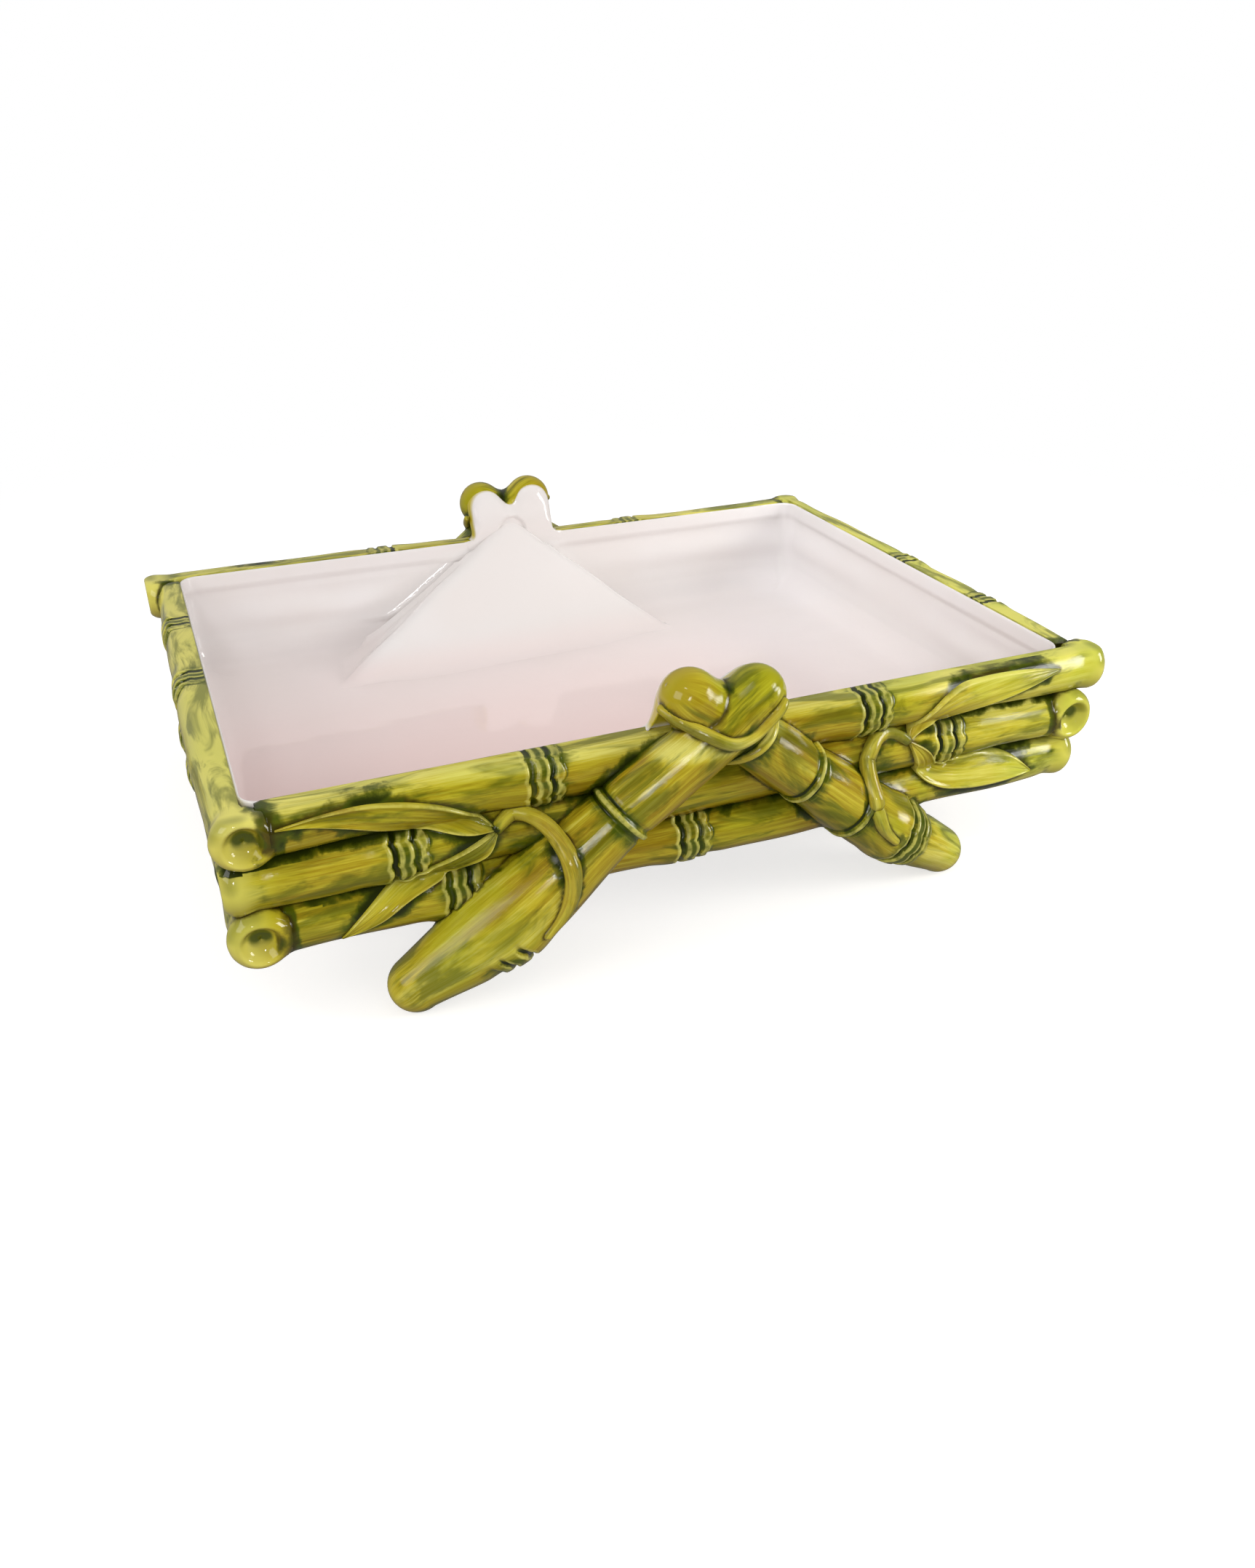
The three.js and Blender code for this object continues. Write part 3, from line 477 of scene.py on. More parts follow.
class Strip:
    """Round bar along a path, with rounded ends."""

    AROUND, CAP_STEPS = 20, 5
    GRAIN_RADIUS = 3.0
    EDGE_TINT = 0.22

    def __init__(self, path, radii, seed):
        self.path, self.radii, self.seed = np.asarray(path, float), np.asarray(radii, float), seed
        reach = self.radii.max() + 3.0
        self.low = self.path.min(0) - reach
        self.high = self.path.max(0) + reach

    def distance(self, points):
        """Signed distance from the chain of tapered links along the path."""
        best = np.full(len(points), OUT_OF_REACH)
        for a, b, ra, rb in zip(self.path[:-1], self.path[1:], self.radii[:-1], self.radii[1:]):
            step = b - a
            h = np.clip((points - a) @ step / (step @ step), 0.0, 1.0)
            gap = np.linalg.norm(points - a - h[:, None] * step, axis=1) - (ra + (rb - ra) * h)
            np.minimum(best, gap, out=best)
        return best

    def calm(self, grain):
        """0 all over: a strip is too thin for its ends to show."""
        return np.zeros(grain.shape[:2])

    def build(self):
        """Grid of points with their grain coordinates, edges and stains."""
        heading = np.gradient(self.path, axis=0)
        heading /= np.linalg.norm(heading, axis=1)[:, None]
        away = np.array((0.0, -1.0, 0.0)) - heading * -heading[:, 1:2]
        away /= np.linalg.norm(away, axis=1)[:, None]
        side = np.cross(heading, away)
        theta = angles_round(-math.pi, self.AROUND)
        caps = cap_angles(self.CAP_STEPS)
        count = len(self.path)
        first = self.path[:1] - heading[:1] * self.radii[0] * np.sin(caps)[:, None]
        last = self.path[-1:] + heading[-1:] * self.radii[-1] * np.sin(caps[::-1])[:, None]
        centres = np.concatenate((first, self.path, last))
        held = [0] * len(caps) + list(range(count)) + [count - 1] * len(caps)
        r = self.radii[held] * np.concatenate((np.cos(caps), np.ones(count), np.cos(caps[::-1])))
        r = np.maximum(r, TINY)
        ring = np.cos(theta)[None, :, None] * away[held][:, None]
        ring = ring + np.sin(theta)[None, :, None] * side[held][:, None]
        points = centres[:, None] + r[:, None, None] * ring
        S, T = np.meshgrid(run_along(centres), theta, indexing="ij")
        grain = np.stack((S, T * self.GRAIN_RADIUS, np.full(S.shape, 7.0 * self.seed + 90.0)), -1)
        return points, grain, np.full(S.shape, self.EDGE_TINT), np.zeros(S.shape)


# The outside surface as one field, so that every piece can melt into its neighbours.
# A melt is the width over which two surfaces run together.
SIDES = ("front", "right")
HANDS = ("left", "right")
FAR = 60.0
CANE_MELT, LEG_MELT, BODY_MELT = 2.4, 4.5, 3.2
STRIP_MELT, FACE_MELT = 1.2, 1.5
GLAZE_MELT = 0.5
LOOK_START, LOOK_STEPS = -166.0, 34
STRIP_LIFT = 0.5
STEM_SLOPE, TIE_SLOPE = 1.0, 1.4

canes = {(side, layer): Cane(side, layer, 1.0 + 0.7 * i + 2.3 * j)
         for j, side in enumerate(SIDES) for i, layer in enumerate(LAYERS)}
legs = {side: Leg(side, 3.0 + 1.9 * i) for i, side in enumerate(HANDS)}


def part_distance(part, points, flip):
    """Distance to one part, or to the part turned half way round, where it is close."""
    p = turned(points) if flip else points
    near = np.all((p > part.low) & (p < part.high), axis=1)
    out = np.full(len(p), FAR)
    if near.any():
        out[near] = part.distance(p[near])
    return out


def both_ways(part, points):
    """Distance to a part or to its twin, whichever is nearer."""
    return np.minimum(part_distance(part, points, False), part_distance(part, points, True))


def union(parts, points, melt, skip=()):
    """Distance to the nearest of several parts and their twins, run together."""
    out = np.full(len(points), FAR)
    for part in parts:
        for flip in (False, True):
            if (part, flip) not in skip:
                out = soft_min(out, part_distance(part, points, flip), melt)
    return out


def legs_field(points):
    """Distance to the legs."""
    return union(legs.values(), points, LEG_MELT)


def body_field(points):
    """Distance to canes and legs."""
    return soft_min(union(canes.values(), points, CANE_MELT), legs_field(points), BODY_MELT)


def face_depth(x, z, field):
    """Y of the outside surface of the front, met by looking straight at it."""
    y = np.full(x.shape, LOOK_START)
    for _ in range(LOOK_STEPS):
        d = field(np.stack((x, y, z), -1))
        y = y + np.clip(d, -2.0, 12.0) * 0.8
    return np.minimum(y, -CANE_Y)


def laid_path(flat, field, slope):
    """Path over the face through x and height spots, rising gently to what it crosses."""
    y = face_depth(flat[:, 0], flat[:, 1], field)
    apart = np.linalg.norm(flat[:, None] - flat[None], axis=2)
    y = np.min(y[None] + slope * apart, axis=1)
    return np.stack((flat[:, 0], y - STRIP_LIFT, flat[:, 1]), -1)


def bezier(points, count):
    """Curve pulled towards its middle points."""
    p = [np.asarray(q, float) for q in points]
    t = np.linspace(0.0, 1.0, count)[:, None]
    while len(p) > 1:
        p = [a + (b - a) * t for a, b in zip(p[:-1], p[1:])]
    return p[0]


# Sprigs: spots on the face as distance from the middle and height from the rim.
KNOT = (87.0, -23.0)
STEM_BENDS = ((67.0, -9.0), (56.0, -42.0), (76.0, -60.0))

# Leaves: spots along the upper edge and along the lower edge, and the tip.
LEAF_EDGES = {
    ("left", "upper"): (((95, -16), (105, -9.5), (115, -6), (130, -3.5), (145, -3.5)),
                        ((97, -23.5), (108, -21), (124, -16), (140, -9.5), (153, -6)), (163, -5)),
    ("left", "lower"): (((101, -29), (114, -34), (126, -39), (134, -44), (141, -50)),
                        ((92, -33), (101, -38), (112, -42), (122, -46), (131, -51)), (146, -56)),
    ("right", "upper"): (((94, -12), (101, -6), (110, -2.5), (122, -1.5), (146, -2)),
                         ((94, -21), (106, -18.5), (121, -15.5), (134, -12), (147, -8)), (161, -4)),
    ("right", "lower"): (((97, -29), (103, -36.5), (115, -38.5), (129, -38.5), (142, -41)),
                         ((92, -34), (97, -43), (105, -48.5), (118, -52), (138, -53)), (155, -51)),
}
SIDE_SIGN = {"left": -1.0, "right": 1.0}


def on_face(spot, side):
    """X and height of a spot of one sprig."""
    return np.array((SIDE_SIGN[side] * spot[0], RIM_HEIGHT + spot[1]))


def stem_strip(side):
    """Looped stem of one sprig, thickest in the middle."""
    flat = bezier([on_face(spot, side) for spot in (KNOT, *STEM_BENDS)], 64)
    path = laid_path(flat, body_field, STEM_SLOPE)
    share = np.linspace(0.0, 1.0, len(path))
    radii = 2.1 + 1.2 * np.sin(math.pi * share) - 0.6 * ease(0.8, 1.0, share)
    return Strip(path, radii, 2.0 + SIDE_SIGN[side])


# The tie round the crossing: two strands, through spots as x and height from the rim.
TIE_UPPER = ((-25.5, 14.0), (-20.0, 10.5), (-11.0, 5.8), (-2.5, 2.2), (5.5, 3.4), (12.5, 8.0), (18.5, 13.5))
TIE_LOWER = ((-2.5, -11.0), (4.0, -8.4), (10.5, -4.6), (16.0, -0.5), (20.5, 4.6), (22.5, 10.0))


def tie_strip(spots, radius, seed):
    """One strand of the tie, a little thinner at its ends."""
    flat = through([(x, RIM_HEIGHT + z) for x, z in spots], 48)
    path = laid_path(flat, legs_field, TIE_SLOPE)
    share = np.linspace(-1.0, 1.0, len(path))
    return Strip(path, radius * (1.0 - 0.25 * share ** 6), seed)


stems = {side: stem_strip(side) for side in HANDS}
tie_bands = (tie_strip(TIE_UPPER, 2.3, 5.0), tie_strip(TIE_LOWER, 2.0, 6.0))
strips = [*stems.values(), *tie_bands]


class Leaf:
    """Leaf pressed over the face: a curved blade with thin raised edges."""

    ROWS, COLUMNS = 96, 29
    SKIRT = (1.05, 1.10)
    SMOOTHINGS = 4
    FRONT = -170.0

    def __init__(self, side, name, seed):
        upper, lower, tip = LEAF_EDGES[(side, name)]
        self.seed = seed
        self.edge = [through([on_face(spot, side) for spot in (KNOT, *edge, tip)], self.ROWS)
                     for edge in (upper, lower)]
        self.flat = 0.5 * (self.edge[0] + self.edge[1])
        self.width = 0.5 * np.linalg.norm(self.edge[0] - self.edge[1], axis=1)
        room = self.width.max() + 6.0
        lows, highs = self.flat.min(0) - room, self.flat.max(0) + room
        self.low = np.array((lows[0], self.FRONT, lows[1]))
        self.high = np.array((highs[0], -CANE_Y - 1.0, highs[1]))

    def distance(self, points):
        """Plan distance on the face from the leaf's outline, used for the pooled glaze and the painted
        crevice shade.
        """
        p = points[:, (0, 2)]
        best = np.full(len(p), OUT_OF_REACH)
        for middle, width in zip(self.flat[::2], self.width[::2]):
            np.minimum(best, np.hypot(*(p - middle).T) - width, out=best)
        return best

    def build(self):
        """Grid of points over and under the blade, with grain coordinates, edges and stains."""
        rows = slice(2, self.ROWS - 1)
        share = np.linspace(0.0, 1.0, self.ROWS)[rows]
        upper, lower = self.edge[0][rows], self.edge[1][rows]
        skirt = np.array(self.SKIRT)
        across = np.concatenate((-skirt[::-1], np.linspace(-1.0, 1.0, self.COLUMNS), skirt))
        mix = 0.5 + 0.5 * across[None, :, None]
        spots = upper[:, None] * mix + lower[:, None] * (1.0 - mix)
        x, z = spots[..., 0], np.minimum(spots[..., 1], RIM_HEIGHT - 1.2)
        y = face_depth(x.ravel(), z.ravel(), body_field).reshape(x.shape)
        for _ in range(self.SMOOTHINGS):
            y[1:-1] = 0.5 * y[1:-1] + 0.25 * (y[:-2] + y[2:])
            y[:, 1:-1] = 0.5 * y[:, 1:-1] + 0.25 * (y[:, :-2] + y[:, 2:])
        rim = np.abs(across)
        profile = 0.75 + 0.55 * ridge(rim, 0.86, 0.16) - 0.25 * ridge(across, 0.06, 0.10)
        profile = profile * (1.0 - ease(0.93, 1.05, rim)) - 2.2 * ease(0.98, 1.10, rim)
        body = np.sin(math.pi * np.clip(0.1 + 0.9 * share, 0.0, 1.0)) ** 0.35
        root = ridge(share, 0.0, 0.22)
        thick = profile[None] * (0.55 + 0.6 * body + 0.9 * root)[:, None]
        top = np.stack((x, y - thick, z), -1)
        under = np.stack((x, np.full_like(x, -CANE_Y - 3.0), z), -1)[:, ::-1]
        points = np.concatenate((top, under), 1)
        S = np.repeat(run_along(self.flat[rows])[:, None], points.shape[1], 1)
        T = self.width[rows][:, None] * across
        T = np.concatenate((T, T[:, ::-1]), 1)
        grain = np.stack((S, T, np.full(S.shape, 7.0 * self.seed + 150.0)), -1)
        edges = 0.42 * ridge(rim, 0.9, 0.11) - 0.12 * ridge(across, 0.06, 0.06)
        raised = edges[None] + 0.25 * root[:, None]
        raised = np.concatenate((raised, np.zeros_like(raised)), 1)
        stain_and_shade = 0.35 * ease(0.75, 1.0, share)[:, None] * np.ones(points.shape[1])
        return points, grain, raised, stain_and_shade


leaves = {key: Leaf(*key, 1.0 + 0.9 * i) for i, key in enumerate(LEAF_EDGES)}


def whole_field(points):
    """Distance to canes, legs, stems and ties."""
    return soft_min(body_field(points), union(strips, points, STRIP_MELT), FACE_MELT)


def others_distance(points, *own):
    """Distance from a piece's own points to the nearest other piece, for the glaze and its painted crevice
    shade.
    """
    skip = {(part, False) for part in own}
    out = union(canes.values(), points, GLAZE_MELT, skip)
    out = np.minimum(out, union(legs.values(), points, GLAZE_MELT, skip))
    for strip in strips:
        if strip not in own:
            out = np.minimum(out, both_ways(strip, points))
    return out


def leaf_gap(points, own=None):
    """Distance from the nearest leaf, other than the piece's own."""
    out = np.full(len(points), FAR)
    for leaf in leaves.values():
        if leaf is not own:
            out = np.minimum(out, both_ways(leaf, points))
    return out


def butt_gap(points, part):
    """Distance to the canes of the other two sides, where a cane ends against them."""
    out = np.full(len(points), FAR)
    for other in canes.values():
        if isinstance(part, Cane) and other.side != part.side:
            out = np.minimum(out, both_ways(other, points))
    return out


SLOPE_STEP = 0.25
SLOPE_CORNERS = np.array(((1, -1, -1), (-1, -1, 1), (-1, 1, -1), (1, 1, 1)), float)


def slope_of(field, points):
    """Direction in which a field grows fastest."""
    out = np.zeros_like(points)
    for corner in SLOPE_CORNERS:
        out += corner * field(points + SLOPE_STEP * corner)[:, None]
    size = np.linalg.norm(out, axis=1)[:, None]
    return out / np.maximum(size, 1e-9)


MELT_REACH, MELT_DEPTH = 4.0, -1.6
MELT_STEP = 1.4


def melted(points, gap):
    """Moves the points of a piece out to the shared surface where neighbours are close."""
    out = points.copy()
    active = np.where((gap < MELT_REACH) & (gap > MELT_DEPTH))[0]
    if not len(active):
        return out
    weight = ease(-1.5, -0.1, gap[active])
    moved = out[active]
    for _ in range(2):
        step = np.clip(-whole_field(moved), 0.0, MELT_STEP)
        moved = moved + slope_of(whole_field, moved) * (step * weight)[:, None]
    out[active] = moved
    return out


# Meshes.

def flat(points):
    """Points of a grid in one row."""
    return points.reshape(-1, points.shape[-1])


def grid_faces(rows, cols, closed=True):
    """Four-sided faces of a grid, closed round its columns or open."""
    i = np.arange(rows - 1)[:, None]
    j = np.arange(cols if closed else cols - 1)[None]
    k = (j + 1) % cols
    a, b = i * cols + j, i * cols + k
    return np.stack((a, b, b + cols, a + cols), -1).reshape(-1, 4)


def end_caps(rows, cols, start=0):
    """Faces that close the first and the last ring of a grid."""
    last = start + (rows - 1) * cols
    return [list(range(start, start + cols)), list(range(last + cols - 1, last - 1, -1))]


def mesh_piece(name, points, faces, attributes, caps=()):
    """One smooth-shaded piece in metres with its per-point masks."""
    mesh = bpy.data.meshes.new(name)
    quads = [tuple(q) for q in faces.tolist()] + [tuple(c) for c in caps]
    mesh.from_pydata((points * MM).tolist(), [], quads)
    for label, values in attributes.items():
        kind = "FLOAT_VECTOR" if values.ndim == 2 else "FLOAT"
        layer = mesh.attributes.new(label, kind, "POINT")
        layer.data.foreach_set("vector" if values.ndim == 2 else "value", values.astype(np.float32).ravel())
    mesh.polygons.foreach_set("use_smooth", np.ones(len(mesh.polygons), bool))
    mesh.update()
    if enclosed(mesh) < 0.0:
        mesh.flip_normals()
    piece = bpy.data.objects.new(name, mesh)
    bpy.context.scene.collection.objects.link(piece)
    return piece


def enclosed(mesh):
    """Six times the signed volume, to tell which way the faces point."""
    mesh.calc_loop_triangles()
    place = np.empty(len(mesh.vertices) * 3, np.float32)
    mesh.vertices.foreach_get("co", place)
    corners = np.empty(len(mesh.loop_triangles) * 3, np.int32)
    mesh.loop_triangles.foreach_get("vertices", corners)
    a, b, c = np.moveaxis(place.reshape(-1, 3)[corners.reshape(-1, 3)].astype(float), 1, 0)
    return float(np.einsum("ij,ij->i", a, np.cross(b, c)).sum())


def dress(piece, node, material):
    """Gives a piece its finish and its place in the frame."""
    piece.data.materials.append(material)
    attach(piece, "root")
    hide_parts(node)


TWIN = {"front": "back", "right": "left", "back": "front", "left": "right"}
TWIN_GRAIN = (311.0, 0.0, 53.0)


def twin_name(name):
    """The name of the piece turned half way round."""
    words = name.split("_")
    return "_".join(TWIN.get(word, word) if i < 2 else word for i, word in enumerate(words))


def add_pair(name, points, faces, attributes, material, caps=()):
    """A piece and its twin, with other streaks in the glaze of the twin."""
    for flip in (False, True):
        label = twin_name(name) if flip else name
        p = turned(points) if flip else points
        marks = dict(attributes)
        if flip and "grain" in marks:
            marks["grain"] = marks["grain"] + np.array(TWIN_GRAIN)
        dress(mesh_piece(label.replace("_", "-"), p, faces, marks, caps), label, material)


# Colours and shader nodes.

def srgb(r, g, b):
    """Linear colour of a screen colour."""
    out = []
    for c in (r, g, b):
        c = c / 255.0
        out.append(c / 12.92 if c <= 0.04045 else ((c + 0.055) / 1.055) ** 2.4)
    return (*out, 1.0)


def new_group(name, inputs, outputs):
    """Empty node group with named sockets."""
    group = bpy.data.node_groups.new(name, "ShaderNodeTree")
    for label, kind, value in inputs:
        socket = group.interface.new_socket(label, in_out="INPUT", socket_type=kind)
        if value is not None:
            socket.default_value = value
    for label, kind in outputs:
        group.interface.new_socket(label, in_out="OUTPUT", socket_type=kind)
    nodes = group.nodes
    return group, nodes.new("NodeGroupInput"), nodes.new("NodeGroupOutput")


class Sketch:
    """Short hand for laying nodes in one tree."""

    def __init__(self, tree):
        self.tree = tree

    def link(self, value, socket):
        """Links a socket, or sets it to a plain value."""
        if isinstance(value, bpy.types.NodeSocket):
            self.tree.links.new(value, socket)
        else:
            socket.default_value = value

    def fill(self, node, *values, **named):
        """Sets or links a node's inputs, by order or by name, and gives its outputs."""
        for value, socket in zip(values, node.inputs):
            self.link(value, socket)
        for label, value in named.items():
            self.link(value, node.inputs[label])
        return node.outputs

    def add(self, kind, *values, **named):
        """New node without settings other than its inputs."""
        return self.fill(self.tree.nodes.new(kind), *values, **named)

    def math(self, how, a, b=0.0, clamp=False):
        """One sum on two values."""
        node = self.tree.nodes.new("ShaderNodeMath")
        node.operation = how
        node.use_clamp = clamp
        return self.fill(node, a, b)[0]

    def times(self, a, b):
        return self.math("MULTIPLY", a, b)

    def plus(self, a, b):
        return self.math("ADD", a, b)

    def minus(self, a, b):
        return self.math("SUBTRACT", a, b)

    def measure(self, how, *vectors):
        """One value worked out from vectors."""
        node = self.tree.nodes.new("ShaderNodeVectorMath")
        node.operation = how
        return self.fill(node, *vectors)["Value"]

    def range(self, value, low, high, to_low=0.0, to_high=1.0, how="SMOOTHSTEP"):
        """Value carried over from one range to another and held at its ends."""
        node = self.tree.nodes.new("ShaderNodeMapRange")
        node.interpolation_type = how
        return self.fill(node, value, low, high, to_low, to_high)[0]

    def linear(self, value, low, high, to_low, to_high):
        return self.range(value, low, high, to_low, to_high, "LINEAR")

    def split(self, vector):
        return self.add("ShaderNodeSeparateXYZ", vector)

    def scaled(self, vector, by, shift=(0.0, 0.0, 0.0)):
        return self.add("ShaderNodeMapping", Vector=vector, Scale=by, Location=shift)[0]

    def noise(self, vector, scale=1.0, detail=3.0, rough=0.5, lean=0.0):
        """Cloudy values around a half."""
        return self.add("ShaderNodeTexNoise", Vector=vector, Scale=scale, Detail=detail, Roughness=rough,
                        Distortion=lean)["Fac"]

    def mix(self, share, a, b):
        """Colour between two colours."""
        node = self.tree.nodes.new("ShaderNodeMix")
        node.data_type = "RGBA"
        node.clamp_factor = True
        for value, i in ((share, 0), (a, 6), (b, 7)):
            self.link(value, node.inputs[i])
        return node.outputs[2]

    def ramp(self, value, stops):
        """Colour of a value, from a row of places and colours."""
        node = self.tree.nodes.new("ShaderNodeValToRGB")
        elements = node.color_ramp.elements
        while len(elements) < len(stops):
            elements.new(0.5)
        for element, (place, colour) in zip(elements, stops):
            element.position = place
            element.color = colour
        return self.fill(node, value)[0]

    def attribute(self, name, kind="Fac"):
        """Per-point mask of the piece."""
        node = self.tree.nodes.new("ShaderNodeAttribute")
        node.attribute_name = name
        return node.outputs[kind]

    def place(self):
        return self.add("ShaderNodeTexCoord")["Object"]

    def facing_down(self):
        """1 where the surface looks at the table."""
        normal = self.add("ShaderNodeNewGeometry")["Normal"]
        return self.range(self.split(normal)["Z"], 0.15, -0.75)

    def group(self, group, **values):
        """Shared effect with its inputs."""
        node = self.tree.nodes.new("ShaderNodeGroup")
        node.node_tree = group
        return self.fill(node, **values)


# Studio: camera, room, lamps and floor, in metres.
CAMERA_PLACE = (-0.18326, -0.4709, 0.28822)
CAMERA_YAW = 23.15
CAMERA_PITCH = 29.89
CAMERA_ROLL = 0.25
CAMERA_LENS = 26.885
SENSOR = 36.0


def set_camera():
    """Camera fitted to the rim corners, the cane ends and the feet."""
    lens = bpy.data.cameras.new("studio camera")
    lens.sensor_fit = "VERTICAL"
    lens.sensor_height = SENSOR
    lens.lens = CAMERA_LENS
    lens.clip_start = 0.01
    camera = bpy.data.objects.new("studio camera", lens)
    bpy.context.scene.collection.objects.link(camera)
    yaw, pitch, roll = (math.radians(v) for v in (CAMERA_YAW, CAMERA_PITCH, CAMERA_ROLL))
    turn = Matrix.Rotation(-yaw, 4, "Z") @ Matrix.Rotation(math.pi / 2 - pitch, 4, "X")
    camera.matrix_world = Matrix.Translation(CAMERA_PLACE) @ turn @ Matrix.Rotation(roll, 4, "Z")
    bpy.context.scene.camera = camera


WARM_LIGHT, WARMER_LIGHT, PLAIN_LIGHT = (1.0, 0.99, 0.96), (1.0, 0.985, 0.955), (1.0, 1.0, 1.0)
OPEN_SPREAD, GRID_SPREAD = 180.0, 19.0

# Lamps: name, place, what it points at, size, power, tint and spread.
LAMPS = (
    ("left window", (-1.0, -0.42, 0.62), (0.04, 0.0, 0.06), (0.6, 0.5), 2.7, WARMER_LIGHT, OPEN_SPREAD),
    ("right window", (0.72, -0.50, 0.34), (0.19, -0.13, 0.06), (0.28, 0.36), 3.5, WARM_LIGHT, OPEN_SPREAD),
    ("gridded lamp", (-0.34, -0.42, 1.0), (0.23, 0.05, 0.05), (0.2, 0.2), 0.056, PLAIN_LIGHT, GRID_SPREAD),
    ("front lamp", (-0.35, -0.95, 0.5), (0.0, -0.05, 0.06), (0.10, 0.14), 1.2, PLAIN_LIGHT, OPEN_SPREAD),
)


def soft_box(name, place, target, size, power, tint, spread):
    """Area lamp that points at a spot."""
    lamp = bpy.data.lights.new(name, "AREA")
    lamp.shape = "RECTANGLE"
    lamp.size, lamp.size_y = size
    lamp.energy = power
    lamp.color = tint
    lamp.spread = math.radians(spread)
    holder = bpy.data.objects.new(name, lamp)
    bpy.context.scene.collection.objects.link(holder)
    way = unit(np.array(target) - np.array(place))
    right = unit(np.cross(way, (0.0, 0.0, 1.0)))
    turn = np.eye(4)
    turn[:3] = np.column_stack((right, np.cross(right, way), -way, place))
    holder.matrix_world = Matrix(turn.tolist())


# Room: its light on dull surfaces, its shine in the glaze in front and at the back, and the
# direction it is brightest from.
ROOM_LIGHT = 1.02
ROOM_SHINE = 0.07
BACK_SHINE = 0.55
BACK_FROM, BACK_TO = 0.2, 0.65
ROOM_WAY = (-0.30, 0.05, 0.80)
ROOM_DIM, ROOM_BRIGHT = 0.25, 1.0
ROOM_COLOUR = (0.80, 0.79, 0.78, 1.0)
WHITE = (1.0, 1.0, 1.0, 1.0)


def set_room():
    """Room that lights the tray from above, is dim in the glaze and plain white to the camera."""
    world = bpy.data.worlds.new("studio room")
    bpy.context.scene.world = world
    world.use_nodes = True
    s = Sketch(world.node_tree)
    s.tree.nodes.clear()
    rays = s.add("ShaderNodeLightPath")
    way = s.add("ShaderNodeTexCoord")["Generated"]
    shine = s.linear(s.split(way)["Y"], BACK_FROM, BACK_TO, ROOM_SHINE, BACK_SHINE)
    level = s.linear(rays["Is Glossy Ray"], 0.0, 1.0, ROOM_LIGHT, shine)
    slope = s.linear(s.measure("DOT_PRODUCT", way, ROOM_WAY), -0.6, 0.8, ROOM_DIM, ROOM_BRIGHT)
    room = s.add("ShaderNodeBackground", Color=ROOM_COLOUR, Strength=s.times(level, slope))
    seen = s.add("ShaderNodeBackground", Color=WHITE, Strength=1.0)
    both = s.add("ShaderNodeMixShader", rays["Is Camera Ray"], room[0], seen[0])
    s.add("ShaderNodeOutputWorld", Surface=both[0])


FLOOR_SIZE = 6.0
FLOOR_COLOUR = (0.62, 0.61, 0.60, 1.0)
MIRRORED_FLOOR = (0.16, 0.155, 0.15, 1.0)
NEAR_GLOW, NEAR_SEEN = 0.08, 0.62
FAR_GLOW, FAR_SEEN = 0.3, 1.0
FADE_FROM, FADE_TO = 0.3, 0.75


def set_floor():
    """Pale floor that takes the shadow near the tray and fades to white away from it."""
    bpy.ops.mesh.primitive_grid_add(x_subdivisions=8, y_subdivisions=8, size=FLOOR_SIZE)
    floor = bpy.context.object
    floor.name = "studio floor"
    paint = bpy.data.materials.new("pale floor")
    paint.use_nodes = True
    s = Sketch(paint.node_tree)
    s.tree.nodes.clear()
    rays = s.add("ShaderNodeLightPath")
    seen = rays["Is Camera Ray"]
    matte = s.add("ShaderNodeBsdfDiffuse", Color=s.mix(rays["Is Glossy Ray"], FLOOR_COLOUR, MIRRORED_FLOOR))
    glow = s.add("ShaderNodeEmission", Strength=s.linear(seen, 0.0, 1.0, NEAR_GLOW, NEAR_SEEN))
    near = s.add("ShaderNodeAddShader", matte[0], glow[0])
    far = s.add("ShaderNodeEmission", Strength=s.linear(seen, 0.0, 1.0, FAR_GLOW, FAR_SEEN))
    fade = s.range(s.measure("LENGTH", s.place()), FADE_FROM, FADE_TO)
    both = s.add("ShaderNodeMixShader", fade, near[0], far[0])
    s.add("ShaderNodeOutputMaterial", Surface=both[0])
    floor.data.materials.append(paint)


def set_studio():
    """Everything around the tray."""
    bpy.context.scene.view_settings.view_transform = "Standard"
    set_camera()
    set_room()
    for lamp in LAMPS:
        soft_box(*lamp)
    set_floor()


# Finishes. Shared effects are node groups that put out colours, masks and heights.
CREAM = srgb(228, 220, 112)
PALE_OLIVE = srgb(196, 180, 46)
OLIVE = srgb(160, 135, 20)
BROWN_OLIVE = srgb(118, 91, 6)
# Brown for painted shade under downward faces, with brown light from the table below.
UNDERSIDE_SHADE_BROWN = srgb(118, 86, 8)
# Brown for painted shade along the crevices between parts.
CREVICE_SHADE_BROWN = srgb(54, 42, 2)
LEAF_LIME = srgb(156, 174, 12)
# Lime for painted light on the right end.
PAINTED_LIGHT_LIME = srgb(212, 218, 52)
POOL_GREEN = srgb(36, 44, 1)
BOTTLE_GREEN = srgb(64, 80, 2)


# Streaks in the green glaze, from broad ones to hairs: how they are stretched along and
# across the grain, where in the noise they start, their detail, roughness, lean and weight.
STREAKS = (
    ((0.012, 0.20, 1.0), (0.0, 0.0, 0.0), 3.0, 0.55, 0.3, 0.42),
    ((0.03, 0.75, 1.0), (9.0, 4.0, 2.0), 5.0, 0.62, 0.2, 0.36),
    ((0.10, 2.6, 1.0), (1.0, 8.0, 5.0), 4.0, 0.6, 0.0, 0.22),
)
STREAK_MIDDLE = 0.5

